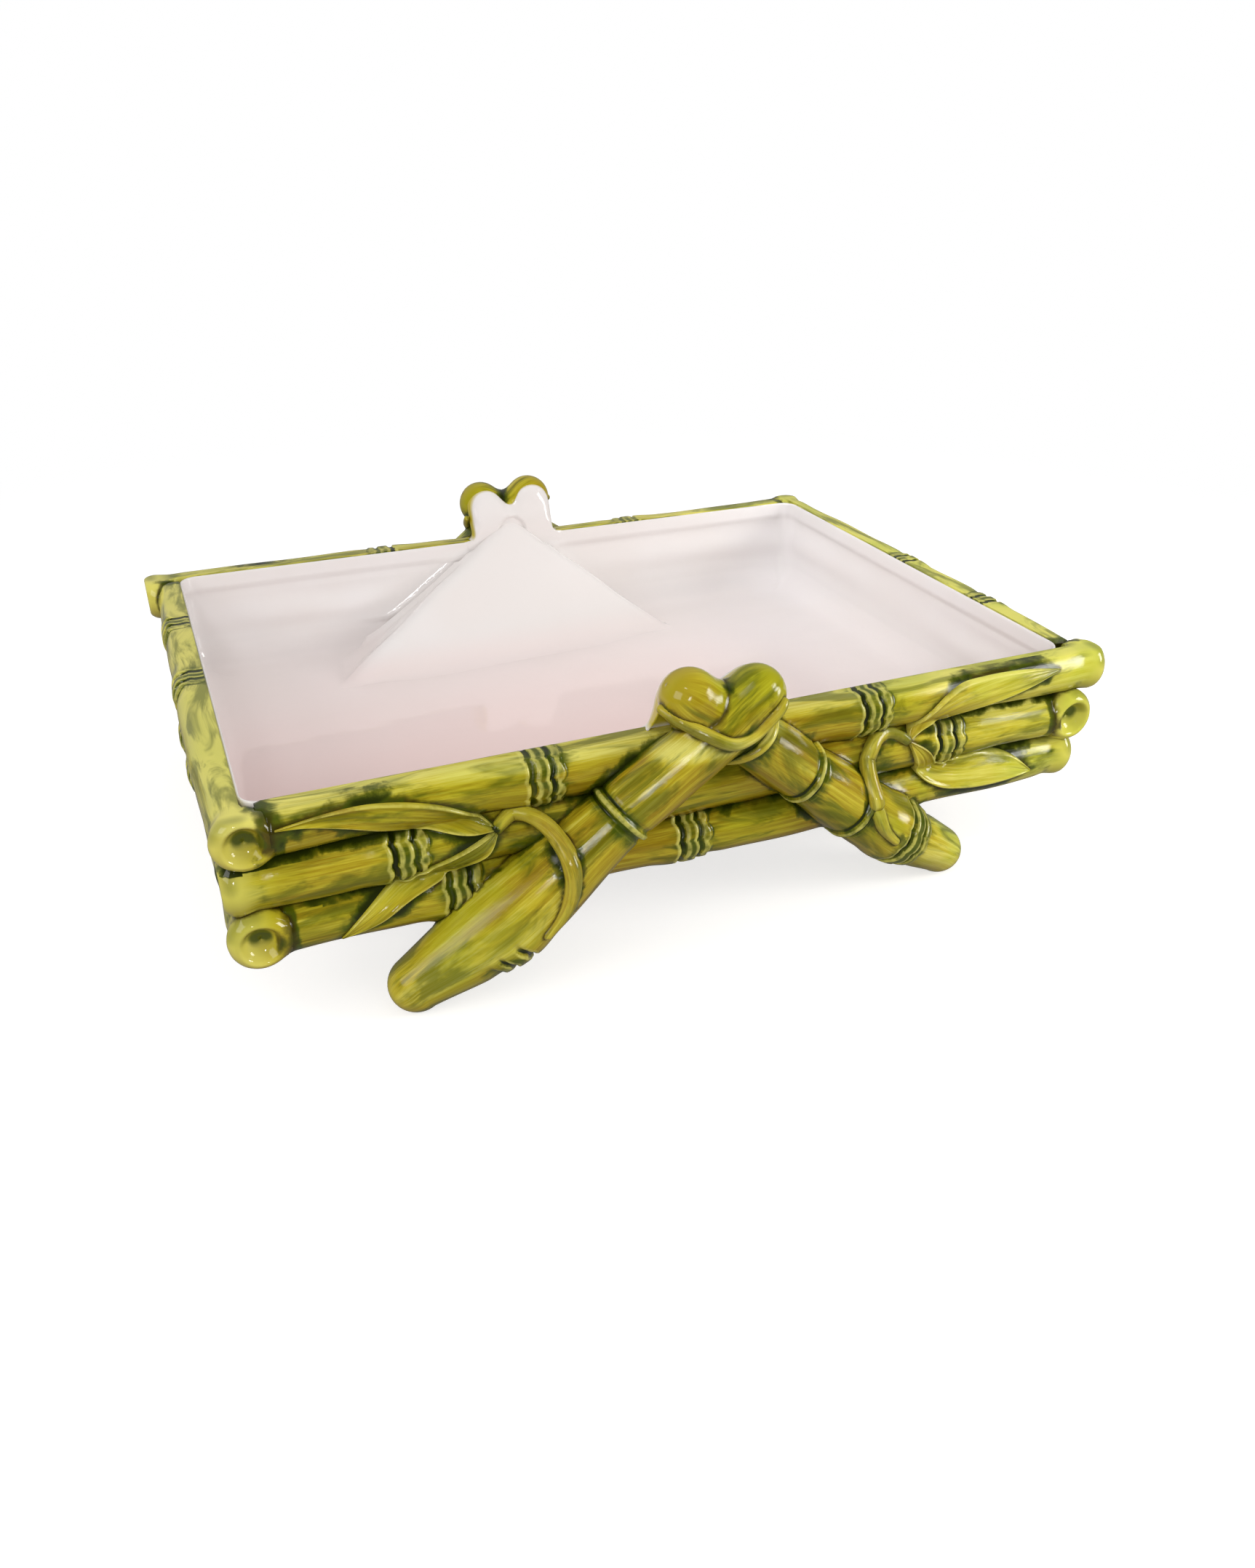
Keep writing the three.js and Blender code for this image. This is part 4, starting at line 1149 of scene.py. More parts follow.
# Places in metres where the green is painted lighter or darker, from where it starts to where it is full:
# both ends lighter and the middle of the long sides darker as painted light and shade, a band along the
# crest of the top canes lighter as painted top light, and lighter towards the table; then where the lime
# lies, and the right end painted paler as painted light.
RIGHT_END, LEFT_END = (0.07, 0.17), (-0.160, -0.178)
MIDDLE_HALF = (0.03, 0.12)
CREST, CREST_TOP = (0.0855, 0.0895), (0.097, 0.091)
FOOT = (0.045, 0.015)
LIME_SIDE, PAINTED_LIGHT_SIDE = (-0.06, 0.12), (0.08, 0.17)


def brushed_glaze_group():
    """Green glaze brushed along the grain over a cream body, with painted light and shade by place and
    painted shade under downward faces.
    """
    group, into, out = new_group(
        "brushed glaze",
        (("Grain", "NodeSocketVector", None), ("Place", "NodeSocketVector", None),
         ("Lime", "NodeSocketFloat", 0.3), ("Pale", "NodeSocketFloat", 0.0),
         ("Stain", "NodeSocketFloat", 0.0), ("Under", "NodeSocketFloat", 0.0),
         ("Calm", "NodeSocketFloat", 0.0)),
        (("Color", "NodeSocketColor"), ("Streak", "NodeSocketFloat")))
    s = Sketch(group)
    grain, place = into.outputs["Grain"], into.outputs["Place"]
    lively = s.minus(1.0, into.outputs["Calm"])
    streak = 0.0
    for stretch, shift, detail, rough, lean, weight in STREAKS:
        layer = s.noise(s.scaled(grain, stretch, shift), detail=detail, rough=rough, lean=lean)
        streak = s.plus(streak, s.times(layer, weight))
    streak = s.plus(STREAK_MIDDLE, s.times(s.minus(streak, STREAK_MIDDLE), lively))
    where = s.split(place)
    x, z = where["X"], where["Z"]
    # Painted light and shade: both ends lighter, the middle of the long sides darker, the crest of the top
    # canes lighter; lighter towards the table.
    painted_light_and_foot_tint = s.plus(s.range(x, *RIGHT_END, 0.0, 0.17), s.range(x, *LEFT_END, 0.0, 0.17))
    painted_light_and_foot_tint = s.plus(painted_light_and_foot_tint, s.range(s.math("ABSOLUTE", x), *MIDDLE_HALF, -0.035, 0.0))
    painted_light_and_foot_tint = s.plus(painted_light_and_foot_tint, s.times(s.range(z, *CREST, 0.0, 0.20), s.range(z, *CREST_TOP)))
    painted_light_and_foot_tint = s.plus(painted_light_and_foot_tint, s.range(z, *FOOT, 0.0, 0.05))
    streak = s.plus(s.plus(streak, painted_light_and_foot_tint), into.outputs["Pale"])
    base = s.ramp(streak, ((0.28, BROWN_OLIVE), (0.43, OLIVE), (0.55, PALE_OLIVE), (0.72, CREAM)))
    cloud = s.noise(place, scale=26.0, lean=0.4)
    lime = s.times(s.range(cloud, 0.42, 0.66), into.outputs["Lime"])
    lime = s.times(lime, s.range(x, *LIME_SIDE, 0.7, 1.5))
    base = s.mix(lime, base, s.mix(0.55, base, LEAF_LIME))
    # Downward faces painted browner: painted shade with brown light from the table below.
    base = s.mix(s.times(into.outputs["Under"], 0.55), base, UNDERSIDE_SHADE_BROWN)
    # The right end painted paler towards lime: painted light.
    base = s.mix(s.range(x, *PAINTED_LIGHT_SIDE, 0.0, 0.38), base, s.mix(0.5, base, PAINTED_LIGHT_LIME))
    wander = s.noise(s.scaled(grain, (0.022, 0.10, 1.0), (5.0, 2.0, 4.0)), detail=4.0, rough=0.6, lean=0.8)
    wander = s.times(s.range(wander, 0.46, 0.62, 0.0, 0.95), lively)
    base = s.mix(wander, base, s.mix(0.68, base, BOTTLE_GREEN))
    smear = s.noise(s.scaled(grain, (0.06, 0.16, 1.0), (3.0, 1.0, 7.0)), detail=4.0, rough=0.6, lean=0.5)
    smear = s.times(s.minus(smear, 0.5), s.times(lively, 1.5))
    # Stains, with painted shade carried in the same mask, darken towards bottle green.
    bleed = s.plus(into.outputs["Stain"], smear)
    base = s.mix(s.range(bleed, 0.36, 0.85, 0.0, 0.92), base, BOTTLE_GREEN)
    s.fill(out, Color=base, Streak=streak)
    return group


def pooled_glaze_group():
    """Where the glaze ran: dark in the crevices and grooves, thin on raised edges; with a brown band of
    painted shade along the crevices and a painted highlight on raised edges.
    """
    group, into, out = new_group(
        "pooled glaze",
        (("Color", "NodeSocketColor", None), ("Near", "NodeSocketFloat", 9.0),
         ("Raised", "NodeSocketFloat", 0.0), ("Place", "NodeSocketVector", None),
         ("Spread", "NodeSocketFloat", 2.6)),
        (("Color", "NodeSocketColor"), ("Pool", "NodeSocketFloat")))
    s = Sketch(group)
    place, raised = into.outputs["Place"], into.outputs["Raised"]
    patch = s.noise(place, scale=38.0, rough=0.55, lean=0.6)
    fleck = s.noise(place, scale=260.0, detail=4.0, rough=0.6)
    wide = s.times(into.outputs["Spread"], s.range(patch, 0.40, 0.72, 0.45, 2.2))
    wide = s.times(wide, s.range(fleck, 0.3, 0.7, 0.7, 1.25))
    # A brown band of painted shade along the crevices, as wide as the spread; patches of it turn into pooled
    # glaze below.
    seam = s.minus(1.0, s.range(into.outputs["Near"], 0.0, wide))
    crevice_shaded = s.mix(s.times(seam, 0.92), into.outputs["Color"], CREVICE_SHADE_BROWN)
    seam = s.times(seam, s.range(patch, 0.44, 0.60))
    groove = s.times(s.range(raised, -0.10, -0.5), s.range(patch, 0.36, 0.56, 0.35, 1.0))
    pool = s.math("MAXIMUM", seam, groove, clamp=True)
    # Raised edges paler: glaze thin there, and a painted highlight.
    crest = s.times(s.range(raised, 0.10, 0.5), s.range(fleck, 0.3, 0.6, 0.2, 0.62))
    thin_and_highlit = s.mix(crest, crevice_shaded, CREAM)
    halo = s.times(s.range(pool, 0.05, 0.55), 0.75)
    tinted = s.mix(halo, thin_and_highlit, BOTTLE_GREEN)
    s.fill(out, Color=s.mix(s.range(pool, 0.45, 0.95), tinted, POOL_GREEN), Pool=pool)
    return group


COAT, COAT_ROUGHNESS = 0.85, 0.045
BODY_ROUGHNESS, BODY_SHINE = 0.32, 0.06


def glossy(material_name):
    """Glassy clear coat over a dull body."""
    paint = bpy.data.materials.new(material_name)
    paint.use_nodes = True
    shader = paint.node_tree.nodes["Principled BSDF"]
    shader.inputs["Coat Weight"].default_value = COAT
    shader.inputs["Coat Roughness"].default_value = COAT_ROUGHNESS
    shader.inputs["Roughness"].default_value = BODY_ROUGHNESS
    shader.inputs["Specular IOR Level"].default_value = BODY_SHINE
    return paint, shader, Sketch(paint.node_tree)


def bumped(s, shader, height, strength, distance):
    """Small unevenness of the body and of the coat."""
    normal = s.add("ShaderNodeBump", Strength=strength, Distance=distance, Height=height)[0]
    s.link(normal, shader.inputs["Normal"])
    s.link(normal, shader.inputs["Coat Normal"])


def green_glaze(name, brushed, pooled, lime, pale, spread):
    """Green finish: share of lime, paleness, and how far the pooled glaze and the painted crevice shade
    reach from a crevice in millimetres.
    """
    paint, shader, s = glossy(name)
    place = s.place()
    # The facing-down mask feeds the painted shade under downward faces.
    wash = s.group(brushed, Grain=s.attribute("grain", "Vector"), Place=place, Lime=lime, Pale=pale,
                   Stain=s.attribute("stain_and_shade"), Under=s.facing_down(), Calm=s.attribute("calm"))
    pool = s.group(pooled, Color=wash["Color"], Near=s.attribute("near"), Raised=s.attribute("raised"),
                   Place=place, Spread=spread)
    s.link(pool["Color"], shader.inputs["Base Color"])
    bumped(s, shader, s.minus(wash["Streak"], s.times(pool["Pool"], 0.35)), 0.25, 0.0008)
    return paint


WHITE_GLAZE = srgb(239, 236, 236)
WARM_WHITE = srgb(236, 231, 229)
FLOOR_PINK = srgb(244, 214, 210)
DEEP_PINK = srgb(240, 194, 191)

# Where the floor turns pink, in metres: heights on the floor, and how far back and right it runs.
PINK_HEIGHTS, PINK_UNDER = (0.056, 0.043), (0.038, 0.040)
PINK_BACK, PINK_RIGHT = (0.24, -0.07), (0.20, 0.0)
SPOTS_FRONT = (-0.02, -0.08)


def white_glaze(name):
    """White finish, pink on the floor towards the front and left, olive where a white piece turns outwards.
    """
    paint, shader, s = glossy(name)
    place = s.place()
    x, y, z = s.split(place)
    cloud = s.noise(place, scale=9.0, lean=0.3)
    blotch = s.noise(s.scaled(place, (1.0, 1.6, 1.0), (2.3, 0.4, 0.0)), scale=24.0, lean=0.6)
    inside = s.times(s.range(z, *PINK_HEIGHTS), s.range(z, *PINK_UNDER))
    front = s.range(s.plus(y, s.times(cloud, 0.10)), *PINK_BACK)
    left = s.range(x, *PINK_RIGHT, 0.15, 1.0)
    wash = s.times(inside, s.times(front, left))
    base = s.mix(s.range(cloud, 0.35, 0.7), WHITE_GLAZE, WARM_WHITE)
    base = s.mix(wash, base, FLOOR_PINK)
    spots = s.times(s.range(blotch, 0.56, 0.62), s.times(wash, s.range(y, *SPOTS_FRONT)))
    base = s.mix(s.times(spots, 0.75), base, DEEP_PINK)
    base = s.mix(s.attribute("outside"), base, PALE_OLIVE)
    s.link(base, shader.inputs["Base Color"])
    wavy = s.noise(place, scale=14.0, detail=2.0)
    fine = s.noise(place, scale=120.0, detail=2.0)
    bumped(s, shader, s.plus(wavy, s.times(fine, 0.06)), 0.35, 0.003)
    return paint


# Green pieces. Inside the loop of each stem the green is darkened as painted shade.
NEAR_LIMIT = 20.0
LOOP_SHADOW_MIDDLE = (72.0, 56.0)
LOOP_SHADOW_NEAR, LOOP_SHADOW_FAR = 5.0, 22.0
LOOP_SHADOW_DEPTH = {Cane: 0.72, Leg: 0.45, Strip: 0.45}
LEAF_NEAR, LEAF_LIFT = 9.0, 0.6


def glaze_marks(grain, near, raised, stain_and_shade):
    """Per-point masks that the green glaze reads."""
    return {"grain": flat(grain), "near": np.clip(near, 0.0, NEAR_LIMIT), "raised": raised.ravel(),
            "stain_and_shade": stain_and_shade.ravel()}


def outer_piece(name, part, material):
    """A cane, leg or stem and its twin, melted into their neighbours."""
    points, grain, raised, stain_and_shade = part.build()
    rows, cols = points.shape[:2]
    p = flat(points)
    gap = others_distance(p, part)
    moved = melted(p, gap)
    over_leaf = np.abs(leaf_gap(moved))
    starts = 1.0 - ease(30.0, 40.0, np.abs(grain[..., 0])).ravel()
    stain_and_shade = np.maximum(stain_and_shade.ravel(), 0.9 * starts * (1.0 - ease(1.0, 9.0, butt_gap(p, part))))
    stain_and_shade = np.maximum(stain_and_shade, 0.65 * (1.0 - ease(0.0, 7.0, over_leaf)))
    # Painted shade inside the loop of each stem, on the outer face.
    from_loop = np.hypot(np.abs(p[:, 0]) - LOOP_SHADOW_MIDDLE[0], p[:, 2] - LOOP_SHADOW_MIDDLE[1])
    loop_shadow = 1.0 - ease(LOOP_SHADOW_NEAR, LOOP_SHADOW_FAR, from_loop)
    stain_and_shade = np.maximum(stain_and_shade, LOOP_SHADOW_DEPTH[type(part)] * loop_shadow * (p[:, 1] < -HALF_WIDTH))
    marks = glaze_marks(grain, np.minimum(np.abs(gap), over_leaf), raised, stain_and_shade)
    marks["calm"] = part.calm(grain).ravel()
    add_pair(name, moved, grid_faces(rows, cols), marks, material, end_caps(rows, cols))


def leaf_piece(name, leaf, material):
    """A leaf and its twin, with pooled glaze and painted crevice shade where another leaf lies close."""
    points, grain, raised, stain_and_shade = leaf.build()
    rows, cols = points.shape[:2]
    p = flat(points)
    near = np.minimum(LEAF_NEAR, np.abs(leaf_gap(p, leaf)) + LEAF_LIFT)
    marks = glaze_marks(grain, near, raised, stain_and_shade)
    add_pair(name, p, grid_faces(rows, cols), marks, material, end_caps(rows, cols))


def tie_piece(name, bands, material):
    """All strands of a tie in one piece, and its twin."""
    points, faces, marks, caps, start = [], [], [], [], 0
    for strand in bands:
        grid, grain, raised, stain_and_shade = strand.build()
        rows, cols = grid.shape[:2]
        p = flat(grid)
        gap = others_distance(p, *bands)
        points.append(melted(p, gap))
        faces.append(grid_faces(rows, cols) + start)
        caps += end_caps(rows, cols, start)
        marks.append(glaze_marks(grain, np.abs(gap), raised, stain_and_shade))
        start += rows * cols
    joined = {label: np.concatenate([own[label] for own in marks]) for label in marks[0]}
    add_pair(name, np.concatenate(points), np.concatenate(faces), joined, material, caps)


# White inside: the basin, and at each crossing a backing that swells out of its wall.
# The swelling is a tent of three leaning faces with two tips on the floor.
TENT_TOP = RIM_HEIGHT + 7.0
TENT_TOP_HALF = 5.0
TENT_BACK = -HALF_WIDTH - 1.0
TENT_TIPS = ((108.0, -66.0), (-77.0, -77.0))
TENT_SPREAD, TIP_SPREAD = 10.0, 2.4
RIDGE_ROUNDING = 9.0
HAND_SWELL = 0.9
TIP_NEAR, TIP_FAR = 14.0, 46.0
TENT_FLARE = -26.0
TENT_STEEPNESS = 0.6

# The tab behind the stubs, and the niche in it over the swelling.
TAB_MIDDLE = -1.2
TAB_WEB_HALF = 14.0
TAB_NOTCH = RIM_HEIGHT + 14.5
TAB_LOBE = 9.4
TAB_REACH = 31.0
TAB_FOOT = RIM_HEIGHT - 7.7
TAB_LEAN_START = RIM_HEIGHT + 12.0
TAB_RAYS = 130
TAB_STEPS = 60
NICHE_TOP = RIM_HEIGHT + 10.0
NICHE_HALF = 7.5


def tent_planes():
    """Three leaning faces of the swelling: a normal and a distance each."""
    apex = np.array((0.0, TENT_BACK, TENT_TOP))
    aside = np.array((TENT_TOP_HALF, 0.0, 0.0))
    right = np.array((*TENT_TIPS[0], FLOOR_HEIGHT))
    left = np.array((*TENT_TIPS[1], FLOOR_HEIGHT))
    wall_right = np.array((TENT_TIPS[0][0] + TENT_FLARE, TENT_BACK, FLOOR_HEIGHT))
    wall_left = np.array((TENT_TIPS[1][0] - TENT_FLARE, TENT_BACK, FLOOR_HEIGHT))
    planes = []
    for a, b, c in ((apex, right, left), (apex + aside, right, wall_right), (apex - aside, left, wall_left)):
        n = unit(np.cross(b - a, c - a))
        n = n if n[1] > 0.0 else -n
        planes.append((n, n @ a))
    return planes


TENT = tent_planes()


def tent_height(x, y):
    """Height of the swelling over the floor plan, with its foot spread on to the floor."""
    out = None
    for n, c in TENT:
        z = (c - n[0] * x - n[1] * y) / n[2]
        out = z if out is None else soft_min(out, z, RIDGE_ROUNDING)
    out = out + HAND_SWELL * np.sin(0.085 * x + 0.9) * np.sin(0.15 * y + 0.4)
    from_tip = np.minimum(*(np.hypot(x - tip_x, y - tip_y) for tip_x, tip_y in TENT_TIPS))
    spread = TIP_SPREAD + (TENT_SPREAD - TIP_SPREAD) * ease(TIP_NEAR, TIP_FAR, from_tip)
    return soft_max(out, FLOOR_HEIGHT, spread)


def tent_field(points):
    """Distance from the swelling behind the front crossing."""
    return TENT_STEEPNESS * (points[:, 2] - tent_height(points[:, 0], points[:, 1]))


def swell_field(points):
    """Distance from the nearer of the two swellings."""
    return np.minimum(tent_field(points), tent_field(turned(points)))


def tab_gap(x, z):
    """Distance from the outline of the tab behind the stubs, which sweeps down into the rim."""
    out = soft_max(np.abs(x - TAB_MIDDLE) - TAB_WEB_HALF, z - TAB_NOTCH, 3.0)
    for path in LEG_PATH.values():
        head = path[0]
        lobe = np.hypot(x - head[0], np.maximum(z - head[2], 0.0)) - TAB_LOBE
        out = soft_min(out, lobe, 7.0)
    return soft_min(out, z - RIM_HEIGHT + 0.7, 5.0)


def stub_face(x, z):
    """Y of the side of the stubs that faces the tray."""
    out = np.full(np.shape(x), -2.0 * HALF_WIDTH)
    for side, path in LEG_PATH.items():
        a, b = np.array(path[0]), np.array(path[1])
        step = b - a
        h = ((x - a[0]) * step[0] + (z - a[2]) * step[2]) / (step[0] ** 2 + step[2] ** 2)
        h = np.clip(h, 0.0, 1.0)
        away = np.hypot(x - a[0] - h * step[0], z - a[2] - h * step[2])
        bulge = LEG_RADII[side][0] ** 2 - away ** 2
        face = a[1] + h * step[1] + np.sqrt(np.maximum(bulge, 0.0))
        out = np.maximum(out, np.where(bulge > 0.0, face, out))
    return out


FLOOR_MELT, SWELL_MELT = 15.0, 11.0
SWELL_REACH, SWELL_DEPTH, SWELL_STEP = 15.0, -7.0, 4.0


def lip_inset(z):
    """How far the wall stands back under the lip band."""
    edge = RIM_HEIGHT - LIP_HEIGHT
    return LIP_STEP * ease(edge + 0.6, edge - 2.2, z)


def wall_field(points):
    """Distance from the inside of the walls."""
    return lip_inset(points[:, 2]) - inner_outline(points)


def basin_field(points):
    """Distance from the inside of the walls and the floor, filleted together."""
    return -soft_max(-wall_field(points), FLOOR_HEIGHT - points[:, 2], FLOOR_MELT)


def inside_field(points):
    """Distance from the walls and the swellings, filleted together."""
    return soft_min(wall_field(points), swell_field(points), SWELL_MELT)


def swelled(points, gap, active):
    """Moves points out to the fillet between wall and swelling, except near the rim."""
    out = points.copy()
    rows = np.where(active & (gap < SWELL_REACH) & (gap > SWELL_DEPTH))[0]
    weight = ease(-2.5, -0.2, gap[rows])
    weight = weight * (1.0 - ease(RIM_HEIGHT - 11.0, RIM_HEIGHT - 4.0, points[rows, 2]))
    moved = out[rows]
    for _ in range(3):
        step = np.clip(-inside_field(moved), 0.0, SWELL_STEP) * weight
        moved = moved + slope_of(inside_field, moved) * step[:, None]
    out[rows] = moved
    return out


CORNERS = ((1, 1), (-1, 1), (-1, -1), (1, -1))
CORNER_STEPS = 6
SIDE_STEPS = (72, 48)
SHARPEST = 0.02


def basin_ring(outset):
    """Outline of the basin moved out or in, with points that match from ring to ring."""
    radius = max(INSIDE_CORNER + outset, SHARPEST)
    inset = min(0.0, INSIDE_CORNER + outset)
    cx, cy = HALF_LENGTH - INSIDE_CORNER + inset, HALF_WIDTH - INSIDE_CORNER + inset

    def spot(corner, turn):
        sx, sy = CORNERS[corner % 4]
        angle = turn * math.pi / 2
        return np.array((sx * cx + radius * math.cos(angle), sy * cy + radius * math.sin(angle)))

    ring = []
    for corner in range(4):
        ring += [spot(corner, corner + step / CORNER_STEPS) for step in range(CORNER_STEPS + 1)]
        here, onward = ring[-1], spot(corner + 1, corner + 1)
        count = SIDE_STEPS[corner % 2]
        ring += [here + step / count * (onward - here) for step in range(1, count)]
    return np.array(ring)


# Rim of the basin from outside to inside: outset from the inner rim, and drop from the rim height.
RIM_PROFILE = ((2.4, 10.0), (1.5, 3.0), (1.2, 1.4), (0.95, 0.8), (0.6, 0.5), (0.25, 0.65), (0.03, 1.1),
               (0.0, 2.0))
WALL_RINGS, FLOOR_RINGS, UNDER_RINGS = 24, 18, 9
FILLET, FILLET_STEPS = 10.0, 8
LOOSE_FROM_RIM, LOOSE_FROM_FLOOR = 2.5, 12.0


def basin_profile():
    """Outsets and heights of the rings: outside with the rim, inside with the floor, and underside."""
    outside = [(WALL_OUTSET - 3.0, UNDERSIDE_HEIGHT), (WALL_OUTSET - 0.9, UNDERSIDE_HEIGHT + 0.9),
               (WALL_OUTSET, UNDERSIDE_HEIGHT + 3.0), (WALL_OUTSET - 1.5, RIM_HEIGHT - 30.0)]
    outside += [(outset, RIM_HEIGHT - drop) for outset, drop in RIM_PROFILE]
    heights = np.linspace(RIM_HEIGHT - 3.0, FLOOR_HEIGHT + FILLET, WALL_RINGS)
    inside = [(float(lip_inset(z)), z) for z in heights]
    for step in range(1, FILLET_STEPS + 1):
        angle = step / (FILLET_STEPS + 1) * math.pi / 2
        outset = LIP_STEP - FILLET * (1.0 - math.cos(angle))
        inside.append((outset, FLOOR_HEIGHT + FILLET * (1.0 - math.sin(angle))))
    middle = -HALF_WIDTH
    inside += [(inset, FLOOR_HEIGHT) for inset in (*np.linspace(-9.0, middle + 0.05, FLOOR_RINGS), middle)]
    under = [(inset, UNDERSIDE_HEIGHT) for inset in (middle, *np.linspace(middle + 0.05, -0.8, UNDER_RINGS))]
    return outside, inside, under


def pressed_waves(points):
    """Soft waves that hands left in the walls, between the floor and the lip."""
    z = points[:, 2]
    along = points[:, 0] / 37.0 + points[:, 1] / 29.0
    out = (0.5 + 0.3 * np.sin(along)) * (1.0 + np.sin(z / 3.2 + 0.8 * np.sin(0.7 * along)))
    out = out * ease(FLOOR_HEIGHT + 10.0, FLOOR_HEIGHT + 16.0, z)
    return out * (1.0 - ease(RIM_HEIGHT - 14.0, RIM_HEIGHT - 9.0, z))


def basin_piece(material):
    """White basin, filleted into both swellings."""
    outside, inside, under = basin_profile()
    rings = []
    for outset, z in outside + inside + under:
        ring = basin_ring(outset)
        rings.append(np.column_stack((ring, np.full(len(ring), z))))
    points = np.stack(rings)
    rows, cols = points.shape[:2]
    p = flat(points)
    loose = np.zeros((rows, cols), bool)
    loose[len(outside):rows - len(under)] = True
    loose = loose.ravel() & (p[:, 2] < RIM_HEIGHT - LOOSE_FROM_RIM)
    gap = swell_field(p)
    settled = p.copy()
    for _ in range(3):
        step = basin_field(settled)[:, None] * slope_of(basin_field, settled)
        settled[loose] -= step[loose]
    moved = swelled(settled, gap, loose & (p[:, 2] > FLOOR_HEIGHT + LOOSE_FROM_FLOOR))
    waves = pressed_waves(moved) * loose * ease(4.0, 14.0, gap)
    moved += slope_of(basin_field, moved) * waves[:, None]
    first = np.arange(cols)
    last = (rows - 1) * cols + first
    wrap = np.stack((last, np.roll(last, -1), np.roll(first, -1), first), -1)
    piece = mesh_piece("basin", moved, np.concatenate((grid_faces(rows, cols), wrap)), {})
    dress(piece, "basin", material)


def tab_disc():
    """Face of the tab behind the stubs, flush with the lip, as rays from a point low on it.

    The edge line of the lip sweeps up over the head of the swelling and leaves a niche there.
    """
    middle = np.array((TAB_MIDDLE, TAB_FOOT + 5.5))
    angles = angles_round(0.0, TAB_RAYS)
    ways = np.stack((np.cos(angles), np.sin(angles)), -1)
    reach = np.zeros(len(angles))
    for _ in range(TAB_STEPS):
        x, z = (middle + reach[:, None] * ways).T
        gap = np.maximum(tab_gap(x, z), np.maximum(np.abs(x - TAB_MIDDLE) - TAB_REACH, TAB_FOOT - z))
        reach = reach - 0.7 * gap
    rho = np.concatenate(((TINY,), np.linspace(0.03, 0.82, 32), np.linspace(0.835, 1.0, 12)))
    spots = middle + (rho[:, None] * reach)[..., None] * ways
    X, Z = spots[..., 0], spots[..., 1]
    niche = np.hypot(X, np.maximum(Z - NICHE_TOP + NICHE_HALF, 0.0)) - NICHE_HALF
    roll = 0.8 + 4.4 * ease(RIM_HEIGHT, RIM_HEIGHT + 9.0, Z)
    edge = np.clip(tab_gap(X, Z) / roll + 1.0, 0.0, 1.0)
    rounding = roll * (1.0 - np.sqrt(1.0 - edge * edge))
    plate = -HALF_WIDTH + 0.25 - LIP_STEP * ease(0.9, -0.9, niche) - rounding
    plate = plate - 0.8 * soft_max(Z - TAB_LEAN_START, 0.0, 8.0)
    plate = plate - 1.45 * ease(TAB_REACH - 6.0, TAB_REACH, np.abs(X - TAB_MIDDLE))
    plate = plate - 0.8 * (1.0 - ease(TAB_FOOT, TAB_FOOT + 2.5, Z))
    Y = soft_max(plate, stub_face(X, Z) + 0.5, 2.0) - 2.5 * ease(0.965, 1.0, rho)[:, None]
    face = np.stack((X, Y, Z), -1)
    back = face[::-1].copy()
    deep = -HALF_WIDTH - 3.0 - 13.0 * ease(-HALF_WIDTH - 14.0, -HALF_WIDTH - 9.0, stub_face(X, Z))
    back[..., 1] = np.minimum(deep, Y - 1.5)[::-1]
    turned_out = np.concatenate((ease(0.955, 0.985, rho), np.ones(len(rho))))[:, None] * np.ones(len(angles))
    above = ease(RIM_HEIGHT - 0.5, RIM_HEIGHT + 2.0, np.concatenate((Z, Z[::-1])))
    return np.concatenate((face, back)), turned_out * above


# Grid of the swelling: how far it runs to the left and right of the crossing and in from the wall.
SWELL_LEFT, SWELL_RIGHT, SWELL_INWARD = -116.0, 146.0, 76.0
SWELL_COLUMNS, SWELL_ROWS = 140, 64
WALL_BACKS = (-4.6, -3.4)
SWELL_START, HIDDEN_START = -2.4, -3.0
HIDDEN_DROP = 4.0
SWELL_FOOT, FOOT_SINK, FOOT_EDGE = 5.0, 0.12, 0.06


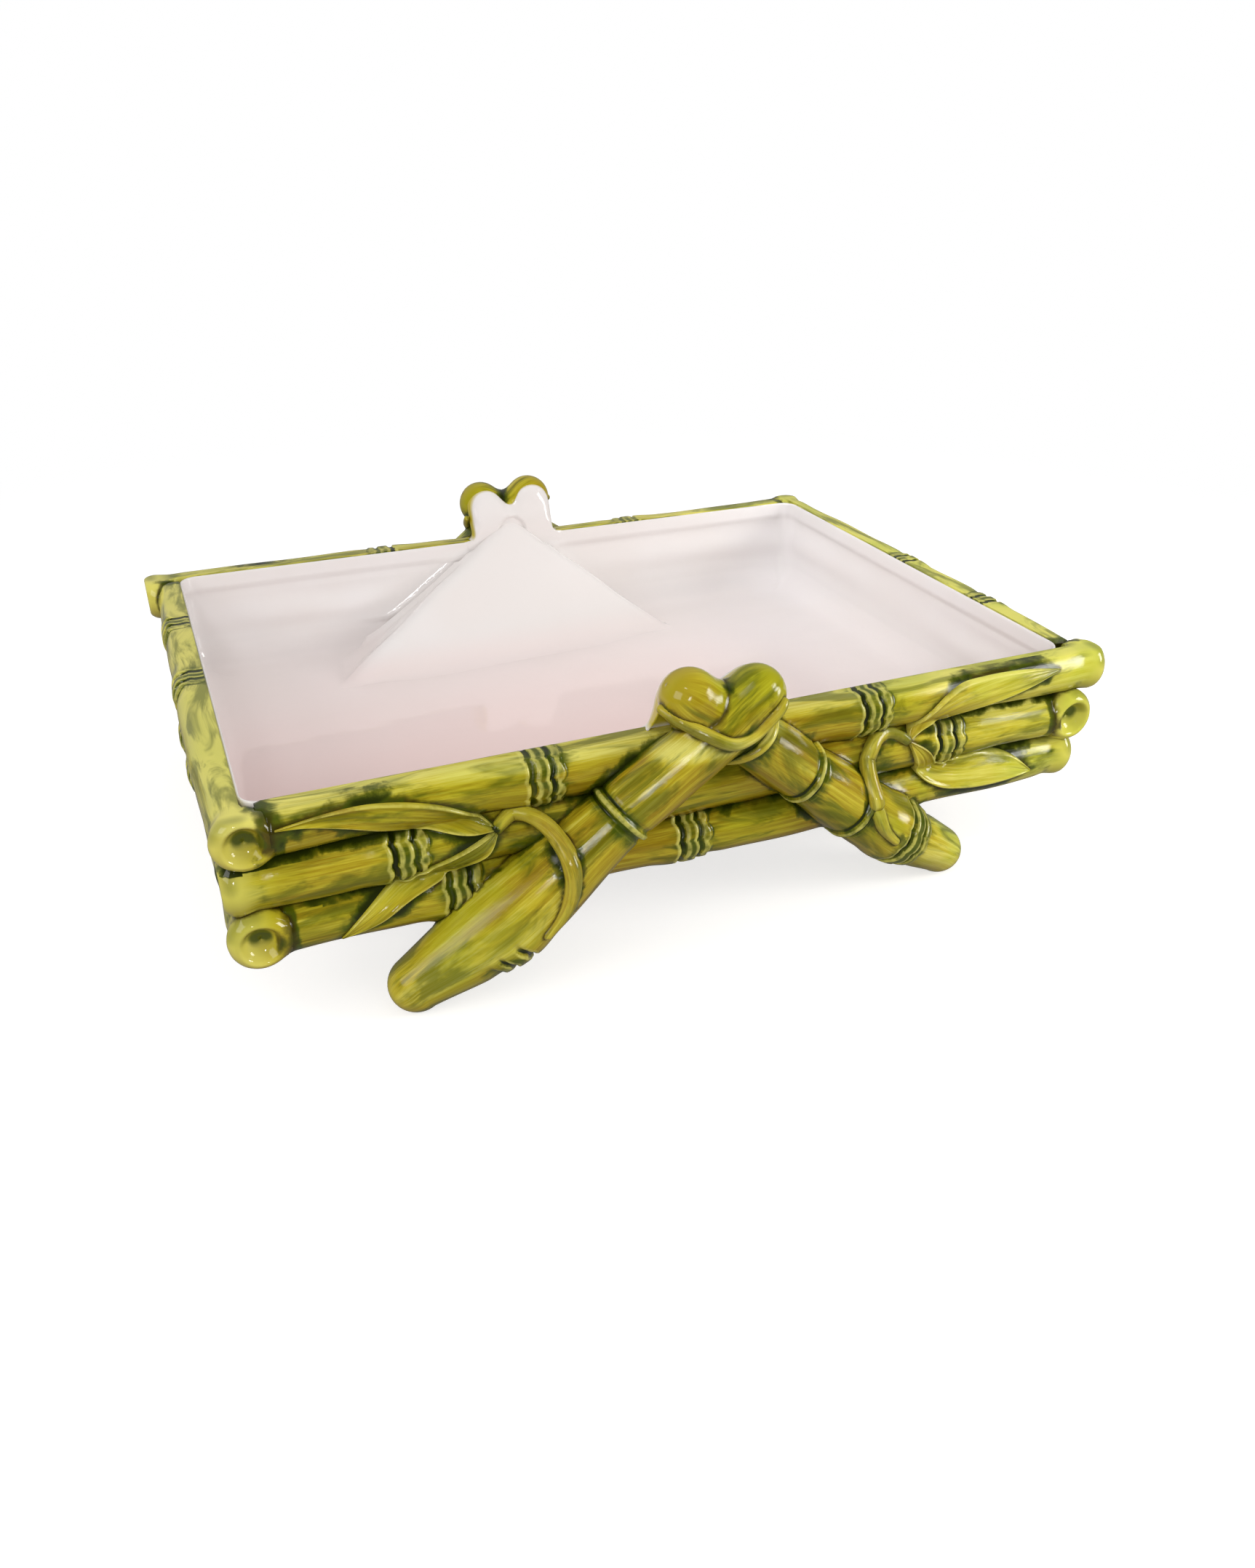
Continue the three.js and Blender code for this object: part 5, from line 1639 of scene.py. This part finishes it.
def backing_piece(name, material):
    """Tab and swelling behind the crossing in one piece, and its twin."""
    x = np.linspace(SWELL_LEFT, SWELL_RIGHT, SWELL_COLUMNS)
    inward = np.concatenate((WALL_BACKS, np.linspace(SWELL_START, SWELL_INWARD, SWELL_ROWS)))
    X, Y = np.meshgrid(x, -HALF_WIDTH + inward, indexing="ij")
    Z = tent_height(X, Y)
    Z = np.where(Y < -HALF_WIDTH + HIDDEN_START, np.minimum(Z, RIM_HEIGHT - HIDDEN_DROP), Z)
    Z = Z - FOOT_SINK * (1.0 - ease(0.0, FOOT_EDGE, Z - FLOOR_HEIGHT))
    p = flat(np.stack((X, Y, Z), -1))
    moved = swelled(p, wall_field(p), p[:, 2] > FLOOR_HEIGHT + 2.0)
    back = p.copy()
    back[:, 2] = FLOOR_HEIGHT - SWELL_FOOT
    rows, cols = X.shape
    count = rows * cols
    face = grid_faces(rows, cols, closed=False)
    low = face[:, ::-1] + count
    number = np.arange(count).reshape(rows, cols)
    edge = np.concatenate((number[:, 0], number[-1, 1:], number[-2::-1, -1], number[0, -2:0:-1]))
    onward = np.roll(edge, -1)
    sides = np.stack((edge, edge + count, onward + count, onward), -1)
    tab, turned_out = tab_disc()
    start = 2 * count
    tab_faces = grid_faces(*tab.shape[:2]) + start
    caps = [cap[::-1] for cap in end_caps(*tab.shape[:2], start)]
    marks = {"outside": np.concatenate((np.zeros(start), turned_out.ravel()))}
    add_pair(name, np.concatenate((moved, back, flat(tab))), np.concatenate((face, low, sides, tab_faces)),
             marks, material, caps)


# The studio first, then the finishes and the pieces.
set_studio()
brushed = brushed_glaze_group()
pooled = pooled_glaze_group()
cane_paint = green_glaze("cane glaze", brushed, pooled, lime=0.5, pale=-0.01, spread=3.6)
leg_paint = green_glaze("leg glaze", brushed, pooled, lime=0.8, pale=0.015, spread=3.2)
leaf_paint = green_glaze("leaf glaze", brushed, pooled, lime=0.6, pale=0.0, spread=1.2)
tie_paint = green_glaze("tie glaze", brushed, pooled, lime=0.5, pale=0.03, spread=1.4)
white_paint = white_glaze("white glaze")

for (side, layer), cane in canes.items():
    outer_piece(f"{side}_{layer}_cane", cane, cane_paint)
for side, leg in legs.items():
    outer_piece(f"front_{side}_leg", leg, leg_paint)
for side, stem in stems.items():
    outer_piece(f"front_{side}_stem", stem, leaf_paint)
for (side, name), leaf in leaves.items():
    leaf_piece(f"front_{side}_{name}_leaf", leaf, leaf_paint)
tie_piece("front_tie", tie_bands, tie_paint)
basin_piece(white_paint)
backing_piece("front_backing", white_paint)
